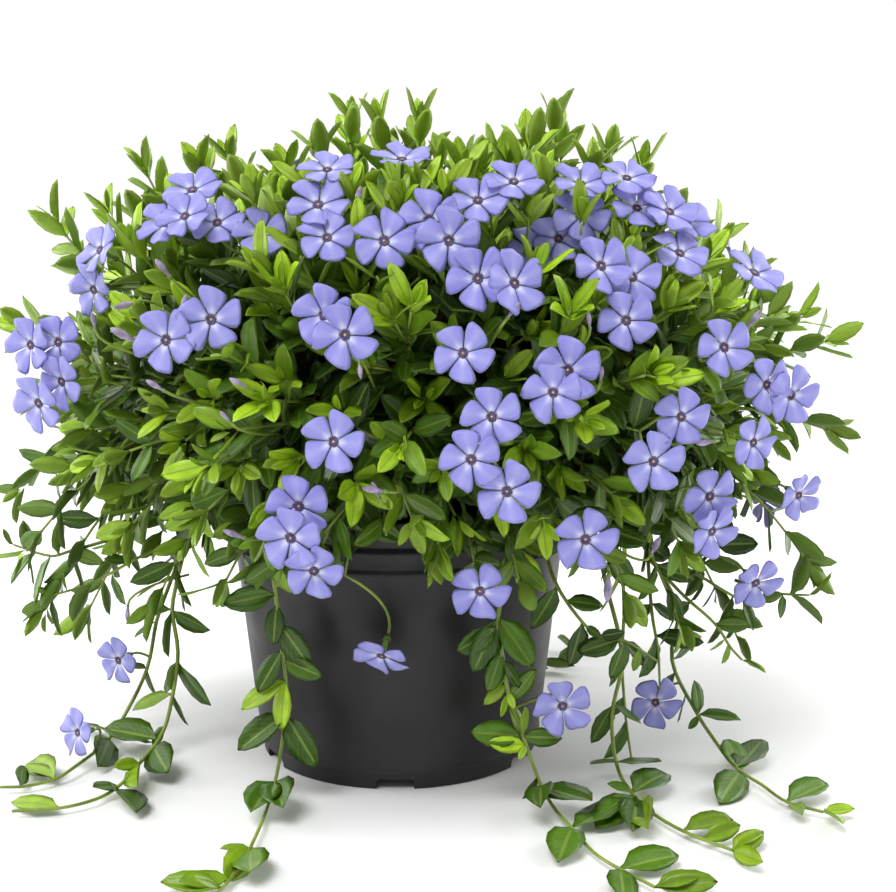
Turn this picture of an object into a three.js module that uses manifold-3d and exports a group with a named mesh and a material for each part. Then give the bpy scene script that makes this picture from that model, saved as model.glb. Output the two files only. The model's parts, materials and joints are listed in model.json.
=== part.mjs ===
// A potted small-leaved periwinkle: a black nursery pot, its soil, leafy clumps, trailing stems and blooms.
// Millimetres, +Z up. The origin is the middle of the pot's base, on the surface that it stands on.
import * as THREE from "three";
import { mergeVertices } from "three/addons/utils/BufferGeometryUtils.js";
import Module from "manifold-3d";

const wasm = await Module();
wasm.setup();

// Driving dimensions of the pot
const POT_TOP_RADIUS = 95;
const POT_BASE_RADIUS = 78.7;
const POT_HEIGHT = 145;
const POT_WALL = 2.2;
const FOOT_HEIGHT = 9.6;
const FOOT_INSET = 0.9;
const BAND_LOW = 117.6;
const BAND_HIGH = 128.6;
const RIDGE = 0.8;
const FLOOR_LOW = 6;
const FLOOR_HIGH = 8.4;
const PAD_RADIUS = 13;
const NOTCH_WIDTH = 20;
const NOTCH_HEIGHT = 5.5;
const NOTCHES = 6;
const DRAIN_RADIUS = 5;
const DRAIN_CIRCLE = 48;
const POT_SIDES = 28;

// Driving dimensions of the soil and of the holes that the stems stand in
const SOIL_TOP = 127;
const SOIL_MOUND = 3;
const SOIL_SIDES = POT_SIDES / 2;
const GAP = 0.35;
const HOLE_DEPTH = 24;
const STEM_SIDES = 6;
const CLUMP_STEM_RADIUS = 3;
const CLUMP_STEM_TOP = 165;
const CLUMP_HOLE_CIRCLE = 50;

// Driving dimensions of the plant
const HEART = new THREE.Vector3(12, 0, 190);
const REACH = new THREE.Vector3(228, 178, 165);
const CORE_SHARE = 0.52;
const CORE_SPIKE = 0.24;
const CORE_SIDES = 6;
const HANG_ROW = 410;
const HANG_BACK = 0.1;
const COLUMN_RADIUS = 30;
const SECTORS = 7;
const SECTOR_TURN = 12;
const LEAF_LENGTH = 27;
const LEAF_WIDTH = 12.5;
const LEAF_THICKNESS = 1.2;
const STEM_RADIUS = 1.1;
const STALK_RADIUS = 0.9;
const BLOOM_RADIUS = 14.6;
const BLOOM_TUBE = 12;
const BACK_TIPS = 26;
const BACK_BUNCHES = 8;
const NODE_HALF = 1.2;
const SIMPLER = 0.03;
const TRAIL_STEPS = 12;

// A blade's edge and the top of its middle, as shares of its width and length, and millimetres up
const BLADE = [[0.48, 0.42, 0], [0, 1, -1.4], [-0.48, 0.42, 0], [0, 0.42, LEAF_THICKNESS]];
const FULL_BLADE = [
  [0.43, 0.28, 0], [0.42, 0.66, 0.2], [0, 1, -1.4],
  [-0.42, 0.66, 0.2], [-0.43, 0.28, 0], [0, 0.46, LEAF_THICKNESS],
];

// The core's profile as shares of its reach at each height, and the hidden trailing stems' way down, as the
// distance from the pot's axis and the height
const CORE_PROFILE = [[0.42, 134], [0.58, 153], [0.92, 174], [1, 195], [0.95, 219], [0.76, 245], [0.45, 267]];
const HIDDEN_WAY = [[124, 112], [127, 70], [128, 34], [138, 8], [160, 4], [185, 4], [208, 4]];

// Colours
const POT_COLOUR = "#2b2b2c";
const SOIL_COLOUR = "#3a2a1e";
const LEAF_COLOUR = "#3f7a1c";
const TRAIL_COLOUR = "#5a8c2a";
const BLOOM_COLOUR = "#8583dc";

// The view that the places below were read in: a picture of 896 by 892 points
const VIEW = { x: 27.5, distance: 740, height: 270, pitch: 7.7, focal: 1330, column: 448, row: 446 };

// Blooms in bunches that touch, each as column, row, heading and lift of its face in degrees.
// Heading 0 looks at the viewer, positive turns it to the right; lift is up.
const BUNCHES = [
  [[98, 249, -60, 25], [92, 290, -50, -10]],
  [[57, 342, -35, 5], [29, 345, -45, 0], [60, 382, -30, -10], [37, 404, -45, -15]],
  [[165, 340, -10, 5], [222, 314, 0, 10]],
  [[164, 222, -25, 35], [184, 215, -15, 35], [192, 188, -10, 50], [225, 223, 0, 35], [266, 234, 10, 30]],
  [[327, 168, -5, 55], [318, 203, 0, 40], [329, 245, 0, 30]],
  [[402, 157, 5, 65]],
  [[429, 219, 0, 15], [449, 240, 5, 10], [384, 240, 0, 20]],
  [[478, 199, 0, 35], [514, 180, 5, 45]],
  [[581, 182, 5, 50], [581, 223, 0, 25], [556, 240, -5, 25], [530, 252, 0, 25]],
  [[617, 188, 10, 50], [628, 220, 15, 40], [658, 220, 20, 40], [675, 228, 25, 45], [669, 264, 20, 40]],
  [[602, 265, 15, 20], [633, 276, 10, 20], [626, 325, 5, 10]],
  [[478, 278, 0, 10], [520, 283, 30, 15]],
  [[323, 315, -10, 5], [345, 335, 5, 0]],
  [[463, 353, 0, 5]],
  [[568, 370, 0, 5], [553, 393, -10, -10]],
  [[725, 347, 10, 10]],
  [[756, 271, 50, 45]],
  [[768, 385, 40, 0], [813, 404, 40, -5]],
  [[682, 417, 10, 0], [654, 462, 5, -5]],
  [[755, 443, 50, -5]],
  [[492, 417, 0, 0], [471, 460, -5, -5], [516, 500, 0, -5]],
  [[333, 442, -5, 0]],
  [[298, 507, -10, -5], [283, 566, -10, -10], [334, 600, 0, -15]],
  [[480, 592, 0, -10]],
  [[586, 540, 5, -5]],
  [[711, 497, 40, -10], [714, 541, 30, -15]],
  [[800, 496, 45, -15]],
  [[757, 584, 20, -20]],
];

// Leafy shoot tips on the bush's outline and on its lower edge, as column and row
const OUTLINE_TIPS = [
  [35, 212], [62, 266], [88, 202], [128, 158], [184, 150], [217, 143], [266, 186],
  [310, 130], [346, 100], [375, 102], [411, 127], [442, 143], [503, 139], [540, 124],
  [566, 103], [622, 138], [659, 151], [711, 231], [739, 232], [790, 326], [822, 314],
  [849, 338], [848, 430], [831, 571], [764, 672], [4, 323], [2, 490], [2, 560], [25, 620], [70, 622],
];
const OUTLINE_DEPTHS = [0, 70, -50, 35, -25, 95, -70];
const SKIRT_TIPS = [
  [135, 618], [205, 600], [262, 606], [312, 560], [440, 560], [530, 600], [645, 610], [700, 640],
];
const INNER_TIPS = [
  [190, 470], [255, 400], [270, 280], [390, 310], [400, 450], [600, 420], [690, 300], [390, 200],
];

// Trailing stems: the side of the pot where each leaves the soil, as a heading from the viewer's side in
// degrees, then its way as column, row, the plane it lies in ("y" upright or "z" level) and where that is.
const TRAILS = [
  {
    name: "trailing_stem_left_low", heading: -82,
    way: [[173, 600, "y", -4], [178, 652, "y", -10], [173, 694, "y", -18], [163, 732, "y", -30],
      [140, 763, "z", 7], [119, 786, "z", 4], [96, 799, "z", 4], [59, 808, "z", 4], [12, 811, "z", 4]],
  },
  {
    name: "trailing_stem_left_high", heading: -99,
    way: [[160, 610, "y", 14], [147, 669, "y", 6], [122, 720, "y", -12], [106, 742, "y", -26],
      [73, 768, "z", 6], [55, 779, "z", 4], [25, 786, "z", 4], [0, 787, "z", 4]],
  },
  {
    name: "trailing_stem_front_left", heading: -38,
    way: [[276, 594, "y", -92], [281, 640, "y", -92], [287, 690, "y", -90], [284, 730, "y", -89],
      [275, 782, "y", -92], [254, 840, "z", 4], [231, 878, "z", 4], [205, 905, "z", 4]],
  },
  {
    name: "trailing_stem_front_right", heading: 38,
    way: [[498, 617, "y", -99], [503, 660, "y", -100], [510, 700, "y", -100], [526, 745, "y", -100],
      [546, 795, "z", 8], [572, 828, "z", 4], [600, 857, "z", 4], [655, 887, "z", 4]],
  },
  {
    name: "trailing_stem_right_near", heading: 68,
    way: [[610, 600, "y", -50], [622, 660, "y", -56], [612, 715, "y", -60], [616, 762, "y", -66],
      [632, 793, "z", 8], [647, 809, "z", 4], [683, 831, "z", 4], [732, 850, "z", 4]],
  },
  {
    name: "trailing_stem_right_far", heading: 96,
    way: [[676, 600, "y", -12], [672, 660, "y", -20], [698, 715, "y", -30], [713, 738, "y", -38],
      [736, 768, "z", 6], [762, 785, "z", 4], [787, 802, "z", 4], [823, 812, "z", 4]],
  },
  { name: "trailing_stem_back_left", heading: -152, way: [] },
  { name: "trailing_stem_back_right", heading: 146, way: [] },
];

// Blooms carried by trailing stems or hanging below the bush: column, row, heading, lift, upright plane
const HANGING_BLOOMS = [
  { trail: 1, place: [117, 661, -60, -5, -8] },
  { trail: 1, place: [76, 733, -70, 5, -52] },
  { trail: 3, place: [563, 707, 5, -5, -112] },
  { trail: 5, place: [656, 703, 10, 0, -36] },
];
const LOW_BLOOM = [381, 658, -20, -45, -112];
const LOW_KNOT = [345, 575, -118];

const EYE = new THREE.Vector3(VIEW.x, -VIEW.distance, VIEW.height);
const PITCH = THREE.MathUtils.degToRad(VIEW.pitch);
const FORWARD = new THREE.Vector3(0, Math.cos(PITCH), -Math.sin(PITCH));
const UPRIGHT = new THREE.Vector3(0, Math.sin(PITCH), Math.cos(PITCH));
const SKY = new THREE.Vector3(0, 0, 1);

// A seeded stream of numbers from 0 to 1
function dice(seed) {
  let state = seed >>> 0;
  return () => {
    state = (Math.imul(state, 1664525) + 1013904223) >>> 0;
    return state / 4294967296;
  };
}

function sightLine(column, row) {
  return FORWARD.clone()
    .add(new THREE.Vector3((column - VIEW.column) / VIEW.focal, 0, 0))
    .addScaledVector(UPRIGHT, (VIEW.row - row) / VIEW.focal);
}

function onPlane(column, row, axis, value) {
  const line = sightLine(column, row);
  return EYE.clone().addScaledVector(line, (value - EYE[axis]) / line[axis]);
}

// Where a line of sight first meets the bush's egg shape, or passes closest to it. The lower front of the
// bush stands back, close over the pot's rim.
function onBush(column, row, most = 1) {
  const share = most * (1 - HANG_BACK * THREE.MathUtils.smoothstep(row, HANG_ROW, HANG_ROW + 190));
  const line = sightLine(column, row);
  const start = EYE.clone().sub(HEART).divide(REACH);
  const step = line.clone().divide(REACH);
  const a = step.dot(step);
  const b = start.dot(step);
  const inside = b * b - a * (start.dot(start) - share * share);
  const along = inside > 0 ? (-b - Math.sqrt(inside)) / a : -b / a;
  return EYE.clone().addScaledVector(line, along);
}

function heading(turn, lift) {
  const side = THREE.MathUtils.degToRad(turn);
  const up = THREE.MathUtils.degToRad(lift);
  return new THREE.Vector3(Math.sin(side) * Math.cos(up), -Math.cos(side) * Math.cos(up), Math.sin(up));
}

// A closed three.js geometry as a solid that can be joined and cut
function solid(geometry) {
  const bare = new THREE.BufferGeometry().setAttribute("position", geometry.getAttribute("position"));
  bare.setIndex(geometry.index);
  const merged = mergeVertices(bare, 1e-3);
  return new wasm.Manifold(
    new wasm.Mesh({
      numProp: 3,
      vertProperties: new Float32Array(merged.attributes.position.array),
      triVerts: new Uint32Array(merged.index.array),
    }),
  );
}

function geometryOf(body) {
  const mesh = body.getMesh();
  const geometry = new THREE.BufferGeometry();
  geometry.setAttribute("position", new THREE.BufferAttribute(mesh.vertProperties.slice(), 3));
  geometry.setIndex(new THREE.BufferAttribute(mesh.triVerts.slice(), 1));
  return geometry;
}

function faceted(points, faces) {
  const geometry = new THREE.BufferGeometry();
  const places = points.flatMap((point) => point.toArray());
  geometry.setAttribute("position", new THREE.Float32BufferAttribute(places, 3));
  geometry.setIndex(faces.flat());
  return geometry;
}

// A profile of radius and height pairs turned round the upright axis
function turned(profile, sides = POT_SIDES) {
  const points = profile.map(([radius, height]) => new THREE.Vector2(radius, height));
  return new THREE.LatheGeometry(points, sides).rotateX(Math.PI / 2);
}

function upright(radius, low, high, x, y, sides) {
  return new THREE.CylinderGeometry(radius, radius, high - low, sides)
    .rotateX(Math.PI / 2)
    .translate(x, y, (low + high) / 2);
}

const slope = (POT_TOP_RADIUS - POT_BASE_RADIUS) / POT_HEIGHT;
const outer = (height) => POT_BASE_RADIUS + slope * height;
const inner = (height) => outer(height) - POT_WALL;

function makePot() {
  const profile = [
    [0, 0],
    [PAD_RADIUS, 0],
    [PAD_RADIUS, FLOOR_LOW],
    [inner(0) - 1.6, FLOOR_LOW],
    [inner(0) - 1, 0],
    [outer(0) - FOOT_INSET, 0],
    [outer(FOOT_HEIGHT) - FOOT_INSET, FOOT_HEIGHT],
    [outer(FOOT_HEIGHT) + RIDGE / 2, FOOT_HEIGHT + 0.4],
    [outer(FOOT_HEIGHT + 1.8), FOOT_HEIGHT + 1.8],
    [outer(BAND_LOW), BAND_LOW],
    [outer(BAND_LOW) + RIDGE, BAND_LOW + 0.6],
    [outer(BAND_HIGH) + RIDGE / 2, BAND_HIGH],
    [outer(BAND_HIGH) + RIDGE * 1.4, BAND_HIGH + 0.6],
    [POT_TOP_RADIUS + RIDGE, POT_HEIGHT],
    [inner(POT_HEIGHT), POT_HEIGHT],
    [inner(FLOOR_HIGH), FLOOR_HIGH],
    [0, FLOOR_HIGH],
  ];
  let pot = solid(turned(profile));
  for (let i = 0; i < NOTCHES; i += 1) {
    const turn = (i / NOTCHES) * Math.PI * 2 - Math.PI / 2;
    const notch = new THREE.BoxGeometry(20, NOTCH_WIDTH, NOTCH_HEIGHT * 2)
      .translate(outer(0) - 4, 0, 0)
      .rotateZ(turn);
    const half = turn + Math.PI / NOTCHES;
    const [x, y] = [DRAIN_CIRCLE * Math.cos(half), DRAIN_CIRCLE * Math.sin(half)];
    const drain = upright(DRAIN_RADIUS, FLOOR_LOW - 1, FLOOR_HIGH + 1, x, y, STEM_SIDES);
    pot = pot.subtract(solid(notch)).subtract(solid(drain));
  }
  return pot;
}

function makeSoil(holes) {
  const low = FLOOR_HIGH + GAP;
  const profile = [
    [0, low],
    [inner(low) - GAP, low],
    [inner(SOIL_TOP) - GAP, SOIL_TOP],
    [0, SOIL_TOP + SOIL_MOUND],
  ];
  return solid(turned(profile, SOIL_SIDES)).subtract(wasm.Manifold.union(holes));
}

// The directions of a ring's corners: carried along the stem, or turned so that one looks at a given side
function ringSide(ahead, before, toward) {
  const side = toward ?? before ?? sideOf(ahead, 0);
  return side.clone().addScaledVector(ahead, -side.dot(ahead)).normalize();
}

function sideOf(along, turn) {
  const level = new THREE.Vector3(along.y, -along.x, 0);
  if (level.length() < 0.05) level.set(1, 0, 0);
  return level.normalize().applyAxisAngle(along, turn);
}

// Places a shape's own x, y and z along three directions, from an origin
function placed(geometry, origin, along, out) {
  const across = along.clone().cross(out).normalize();
  const up = across.clone().cross(along).normalize();
  const frame = new THREE.Matrix4().makeBasis(across, along, up).setPosition(origin);
  return solid(geometry.clone().applyMatrix4(frame));
}

// A leaf grows out of one small side face of its stem: the points of the blade's edge and the top of its
// middle are added to that face's four corners, named upper left, upper right, lower right, lower left
function leafFaces(points, corners, blade, length, width, way, out) {
  const middle = corners.reduce((sum, k) => sum.add(points[k]), new THREE.Vector3()).divideScalar(4);
  const across = way.clone().cross(out).normalize();
  const first = points.length;
  for (const [x, y, z] of blade)
    points.push(
      middle.clone()
        .addScaledVector(across, x * width)
        .addScaledVector(way, y * length)
        .addScaledVector(out, z),
    );
  const [upperLeft, upperRight, lowerRight, lowerLeft] = corners;
  const edge = blade.slice(0, -1).map((_, k) => first + k);
  const rim = [upperLeft, upperRight, ...edge];
  const faces = rim.map((point, k) => [point, rim[(k + 1) % rim.length], points.length - 1]);
  faces.push([upperRight, lowerRight, edge[0]], [lowerLeft, upperLeft, edge.at(-1)]);
  let [right, left] = [lowerRight, lowerLeft];
  for (let k = 0; k < (edge.length - 1) / 2; k += 1) {
    const [nextRight, nextLeft] = [edge[k], edge[edge.length - 1 - k]];
    faces.push([right, left, nextRight], [nextRight, left, nextLeft]);
    [right, left] = [nextRight, nextLeft];
  }
  faces.push([right, left, edge[(edge.length - 1) / 2]]);
  return faces;
}

// Everything that has grown so far: the bodies that each node is joined from, and the pieces to keep clear of
const bodies = new Map();
const obstacles = [];

function bodiesOf(node) {
  if (!bodies.has(node)) bodies.set(node, []);
  return bodies.get(node);
}

function keep(node, body) {
  bodiesOf(node).push(body);
  obstacles.push({ node, piece: body, box: body.boundingBox() });
  return body;
}

function near(a, b, margin) {
  return [0, 1, 2].every((k) => a.min[k] - margin < b.max[k] && b.min[k] - margin < a.max[k]);
}

// True where a new piece stays clear of all that has grown, apart from the pieces that carry it and, where
// it may cross its own node's pieces, from those
function isClear(piece, carriers, crossed = null) {
  const box = piece.boundingBox();
  return obstacles.every(
    (other) =>
      other.node === crossed ||
      carriers.includes(other.piece) ||
      !near(box, other.box, GAP) ||
      other.piece.minGap(piece, GAP) >= GAP,
  );
}

// A stem of three sides through a row of stations, each with a point, a direction, a radius and perhaps a
// leaf pair. Its leaves grow once every stem has its place. Returns null where it would meet something.
const plans = [];

function growStem(node, stations, carriers, { toward = null, pointed = false, crossed = null } = {}) {
  const points = [];
  const rings = [];
  let side = null;
  for (const station of stations) {
    side = ringSide(station.along, side, toward);
    const other = station.along.clone().cross(side);
    const places = station.pair ? [-NODE_HALF, NODE_HALF] : [0];
    for (const place of places) {
      rings.push({ first: points.length, pair: station.pair && place < 0 ? station : null, side, other });
      for (let k = 0; k < 3; k += 1) {
        const turn = (k / 3) * Math.PI * 2;
        points.push(
          station.point.clone()
            .addScaledVector(station.along, place)
            .addScaledVector(side, Math.cos(turn) * station.radius)
            .addScaledVector(other, Math.sin(turn) * station.radius),
        );
      }
    }
  }
  const bare = rings.slice(0, -1).flatMap((ring) => [0, 1, 2].map((k) => quad(ring.first, k)));
  const last = points.length - 3;
  const ends = [[0, 2, 1], [last, last + 1, last + 2]];
  const stem = solid(faceted(points, [...bare.flatMap(halves), ...ends]));
  if (!isClear(stem, carriers, crossed)) return null;
  obstacles.push({ node, piece: stem, box: stem.boundingBox() });
  for (const station of stations) station.stem = stem;
  plans.push({ node, points, rings, ends, tip: pointed ? stations.at(-1) : null });
  return stem;
}

// Gives a planned stem its leaves and joins it to its node
function leafStem({ node, points, rings, ends, tip }) {
  const last = points.length - 3;
  const faces = [...ends];
  if (tip) {
    points.push(tip.point.clone().addScaledVector(tip.along, NODE_HALF * 2.5));
    faces.splice(1, 1);
    for (let k = 0; k < 3; k += 1) faces.push([last + k, last + ((k + 1) % 3), points.length - 1]);
  }
  for (const ring of rings.slice(0, -1)) {
    const quads = [0, 1, 2].map((k) => quad(ring.first, k));
    const taken = ring.pair ? growPair(node, points, ring, quads, faces) : [];
    faces.push(...quads.filter((_, k) => !taken.includes(k)).flatMap(halves));
  }
  bodiesOf(node).push(solid(faceted(points, faces)));
}

const quad = (first, k) => [first + k, first + ((k + 1) % 3), first + 3 + ((k + 1) % 3), first + 3 + k];
const halves = ([a, b, c, d]) => [[a, b, c], [a, c, d]];

// Each leaf keeps clear of what has grown: it turns aside, or is left out
function growPair(node, points, ring, quads, faces) {
  const { pair, along } = ring.pair;
  const lean = THREE.MathUtils.degToRad(pair.spread);
  const taken = [];
  const mates = [];
  for (const hand of [1, -1]) {
    const k = (pair.face + (hand > 0 ? 0 : 1)) % 3;
    const middle = ((k + 0.5) / 3) * Math.PI * 2;
    for (const aside of [24, 8, 40]) {
      const turn = middle + THREE.MathUtils.degToRad(-hand * aside);
      const out = ring.side.clone().multiplyScalar(Math.cos(turn));
      out.addScaledVector(ring.other, Math.sin(turn));
      const way = along.clone().multiplyScalar(Math.cos(lean)).addScaledVector(out, Math.sin(lean));
      const face = along.clone().multiplyScalar(Math.sin(lean)).addScaledVector(out, -Math.cos(lean));
      const [a, b, c, d] = quads[k];
      const trial = points.slice();
      const size = [LEAF_LENGTH * pair.size, LEAF_WIDTH * pair.size];
      const shape = leafFaces(trial, [c, d, a, b], pair.blade ?? BLADE, ...size, way, face);
      const used = [a, b, c, d, ...trial.keys()].filter((i, at) => at < 4 || i >= points.length);
      const closed = [...shape, [d, c, b], [d, b, a]].map((one) => one.map((i) => used.indexOf(i)));
      const leaf = solid(faceted(used.map((i) => trial[i]), closed));
      if (leaf.boundingBox().min[2] < 1 || !isClear(leaf, [...mates, ring.pair.stem])) continue;
      points.push(...trial.slice(points.length));
      faces.push(...shape);
      mates.push(leaf);
      taken.push(k);
      break;
    }
  }
  for (const piece of mates) obstacles.push({ node, piece, box: piece.boundingBox() });
  return taken;
}

// One bloom: five broad slanted petals round a sunk throat, on a tube that narrows to its stalk
function bloomShape(radius, cup) {
  const ring = (turn, share, height) => {
    const angle = THREE.MathUtils.degToRad(turn);
    const r = radius * share;
    return new THREE.Vector3(r * Math.cos(angle), r * Math.sin(angle), height + cup * share * share);
  };
  const points = [new THREE.Vector3(0, 0, -2.4), new THREE.Vector3(0, 0, -BLOOM_TUBE)];
  const faces = [];
  for (let i = 0; i < 5; i += 1) {
    const turn = i * 72;
    points.push(ring(turn - 36, 0.27, -1.6), ring(turn - 29, 0.93, -0.6));
    points.push(ring(turn + 26, 1, 0.7), ring(turn, 0.6, 1.3));
    const [notch, slant, corner, ridge] = [2, 3, 4, 5].map((k) => k + i * 4);
    const next = 2 + ((i + 1) % 5) * 4;
    faces.push([notch, slant, ridge], [slant, corner, ridge], [corner, next, ridge], [next, 0, ridge]);
    faces.push([0, notch, ridge], [notch, corner, slant], [notch, next, corner], [notch, 1, next]);
  }
  return faceted(points, faces);
}

// The blooms come first, because everything else makes room for them
function makeBloom(centre, turn, lift, size, cup, roll) {
  const face = heading(turn, lift);
  const shape = bloomShape(BLOOM_RADIUS * size, cup).rotateZ(roll);
  const along = sideOf(face, 0).cross(face).normalize();
  const root = centre.clone().addScaledVector(face, -BLOOM_TUBE);
  return { body: placed(shape, centre, along, face), face, root };
}

// Blooms of a bunch hold together: each next one slides along the line of sight, and a little towards the
// nearest, to where its petals just sink into a neighbour's
const JOIN_LEVELS = [0.4, 0.7, 1];
const JOIN_SLIDES = [0, 4, -4, 8, -8];
const JOIN_PULLS = [0, 0.1, 0.2, 0.32, 0.46];
const JOIN_LEAST = 0.25;

function joinBloom(place, others, joined) {
  const [size, cup, roll] = [0.92 + 0.14 * bloomDice(), (bloomDice() - 0.4) * 3, bloomDice() * Math.PI * 2];
  const make = (centre) => ({ centre, ...makeBloom(centre, place.turn, place.lift, size, cup, roll) });
  if (!joined) return make(place.centre);
  const sight = place.centre.clone().sub(EYE).normalize();
  const distance = (bloom) => bloom.centre.distanceTo(place.centre);
  const nearest = others.reduce((best, bloom) => (distance(bloom) < distance(best) ? bloom : best));
  const behind = nearest.centre.distanceTo(EYE) - place.centre.distanceTo(EYE);
  const slides = JOIN_LEVELS.flatMap((level) => JOIN_SLIDES.map((slide) => behind * level + slide));
  let chosen = null;
  let lowest = Infinity;
  for (const pull of JOIN_PULLS)
    for (const slide of slides) {
      const bloom = make(place.centre.clone().lerp(nearest.centre, pull).addScaledVector(sight, slide));
      if (bloom.body.intersect(joined).volume() < JOIN_LEAST) continue;
      const cost = bloom.body.add(joined).numTri() + Math.abs(slide) / 2 + 90 * pull;
      if (cost < lowest) [chosen, lowest] = [bloom, cost];
    }
  if (!chosen) throw new Error(`a bloom stays apart at ${place.centre.toArray()}`);
  return chosen;
}

const bunches = [];
const bloomDice = dice(11);
const BUNCH_SHIFTS = [0, 4, -4, 8, -8, 12, -12, 16, -16, 20];

function addBunch(places) {
  const name = `blooms_${String(bunches.length + 1).padStart(2, "0")}`;
  for (const shift of BUNCH_SHIFTS) {
    const blooms = [];
    let body = null;
    for (const place of places) {
      const out = place.centre.clone().sub(HEART).normalize();
      const centre = place.centre.clone().addScaledVector(out, shift);
      const bloom = joinBloom({ ...place, centre }, blooms, body);
      blooms.push(bloom);
      body = body ? body.add(bloom.body) : bloom.body;
    }
    if (!isClear(body, [])) continue;
    const bunch = { name, blooms };
    bunches.push(bunch);
    keep(name, body);
    return bunch;
  }
  throw new Error(`no room for ${name}`);
}

for (const bunch of BUNCHES)
  addBunch(bunch.map(([column, row, turn, lift]) => ({ centre: onBush(column, row), turn, lift })));

// The side that the view doesn't show, filled by the golden angle
function backPlace(k, count, share) {
  const angle = THREE.MathUtils.degToRad(((k * 137.508) % 170) + 5);
  const rise = -0.4 + (1.3 * (k + 0.5)) / count;
  const level = Math.sqrt(Math.max(0, 1 - rise * rise));
  const out = new THREE.Vector3(Math.cos(angle) * level, Math.sin(angle) * level, rise);
  const reach = share * (rise < 0 ? 1 + rise * HANG_BACK * 2 : 1);
  return { point: HEART.clone().addScaledVector(out.clone().multiply(REACH), reach), out };
}

const BACK_BUNCH = [[-14, -4, -14], [14, 5, 14]];

for (let k = 0; k < BACK_BUNCHES; k += 1) {
  const { point, out } = backPlace(k, BACK_BUNCHES, 0.97);
  const turn = THREE.MathUtils.radToDeg(Math.atan2(out.x, -out.y));
  const lift = THREE.MathUtils.radToDeg(Math.asin(out.z));
  const level = new THREE.Vector3(out.y, -out.x, 0).normalize();
  const rise = out.clone().cross(level);
  addBunch(
    BACK_BUNCH.map(([across, up, aside]) => ({
      centre: point.clone().addScaledVector(level, across).addScaledVector(rise, up),
      turn: turn + aside,
      lift: lift + up,
    })),
  );
}

function hangBloom([column, row, turn, lift, plane]) {
  return addBunch([{ centre: onPlane(column, row, "y", plane), turn, lift }]);
}
const hanging = HANGING_BLOOMS.map(({ trail, place }) => ({ trail, bunch: hangBloom(place) }));
const lowBunch = hangBloom(LOW_BLOOM);
lowBunch.knot = onPlane(LOW_KNOT[0], LOW_KNOT[1], "y", LOW_KNOT[2]);

keep("pot", makePot());

function stalkStations(from, bloom) {
  const end = bloom.root.clone().addScaledVector(bloom.face, -GAP * 1.4);
  const bend = end.clone().addScaledVector(bloom.face, -end.distanceTo(from) * 0.45);
  const curve = new THREE.QuadraticBezierCurve3(from, bend, end);
  return [0, 0.55, 1].map((t) => {
    return { point: curve.getPoint(t), along: curve.getTangent(t), radius: STALK_RADIUS };
  });
}

function growStalk(node, from, bloom, carriers) {
  if (!growStem(node, stalkStations(from, bloom), carriers, { crossed: node }))
    throw new Error(`a bloom of ${node} has no stalk`);
}

// Trailing stems rise from the soil's edge, lean over the rim and hang down to the surface
const holes = [];
const trailDice = dice(23);

function trailWay(trail) {
  const side = heading(trail.heading, 0);
  const level = new THREE.Vector3(-side.y, side.x, 0);
  const at = (radius, height, aside = 0) =>
    side.clone().multiplyScalar(radius).addScaledVector(level, aside).setZ(height);
  const start = [
    at(78, SOIL_TOP - HOLE_DEPTH), at(78, SOIL_TOP + 4), at(85, POT_HEIGHT + 8), at(103, POT_HEIGHT + 9),
  ];
  const listed = trail.way.map(([column, row, axis, value]) => onPlane(column, row, axis, value));
  const hidden = HIDDEN_WAY.map(([radius, height], i) => at(radius, height, Math.sin(i * 0.9) * 9));
  return [...start, ...(listed.length ? listed : hidden)];
}

for (const [index, trail] of TRAILS.entries()) {
  const way = trailWay(trail);
  const curve = new THREE.CatmullRomCurve3(way, false, "centripetal");
  const toward = heading(trail.heading, 0).add(SKY);
  const upright = { point: way[0], along: SKY, radius: STEM_RADIUS * 1.3, pair: null };
  const stations = [upright, { ...upright, point: way[1] }];
  const length = curve.getLength();
  const first = way[0].distanceTo(way[1]) / length;
  for (let i = 1; i <= TRAIL_STEPS; i += 1) {
    const t = Math.min(1, first + ((1 - first) * i) / TRAIL_STEPS);
    const paired = i > 2 && i % 2 === TRAIL_STEPS % 2;
    const last = i === TRAIL_STEPS;
    const size = last ? 0.75 : 0.92 + 0.2 * trailDice();
    const pair = { face: 2, size, spread: last ? 35 : 60, blade: FULL_BLADE };
    const [point, along] = [curve.getPointAt(t), curve.getTangentAt(t)];
    stations.push({ point, along, radius: STEM_RADIUS * (1.3 - 0.35 * t), pair: paired && pair });
  }
  const stem = growStem(trail.name, stations, [], { toward, pointed: true });
  if (!stem) throw new Error(`${trail.name} meets something`);
  const [{ x, y }] = way;
  holes.push(stemHole(STEM_RADIUS * 1.3 + GAP * 2, x, y));
  for (const { bunch } of hanging.filter((entry) => entry.trail === index)) {
    const [bloom] = bunch.blooms;
    const from = stations.reduce((best, { point }) =>
      point.distanceTo(bloom.root) < best.distanceTo(bloom.root) ? point : best, way[0]);
    growStalk(trail.name, from, bloom, [stem]);
  }
}

function stemHole(radius, x, y) {
  return solid(upright(radius, SOIL_TOP - HOLE_DEPTH - GAP, SOIL_TOP + 20, x, y, STEM_SIDES));
}

// Round the bush's egg shape at a share of its reach
function bushSide(turn, share) {
  return new THREE.Vector3(Math.cos(turn) * REACH.x * share, Math.sin(turn) * REACH.y * share, 0);
}

// The heart of a leafy clump: one sector of the bush's egg-shaped core, its outside drawn out in leaf points
const coreDice = dice(5);

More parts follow.
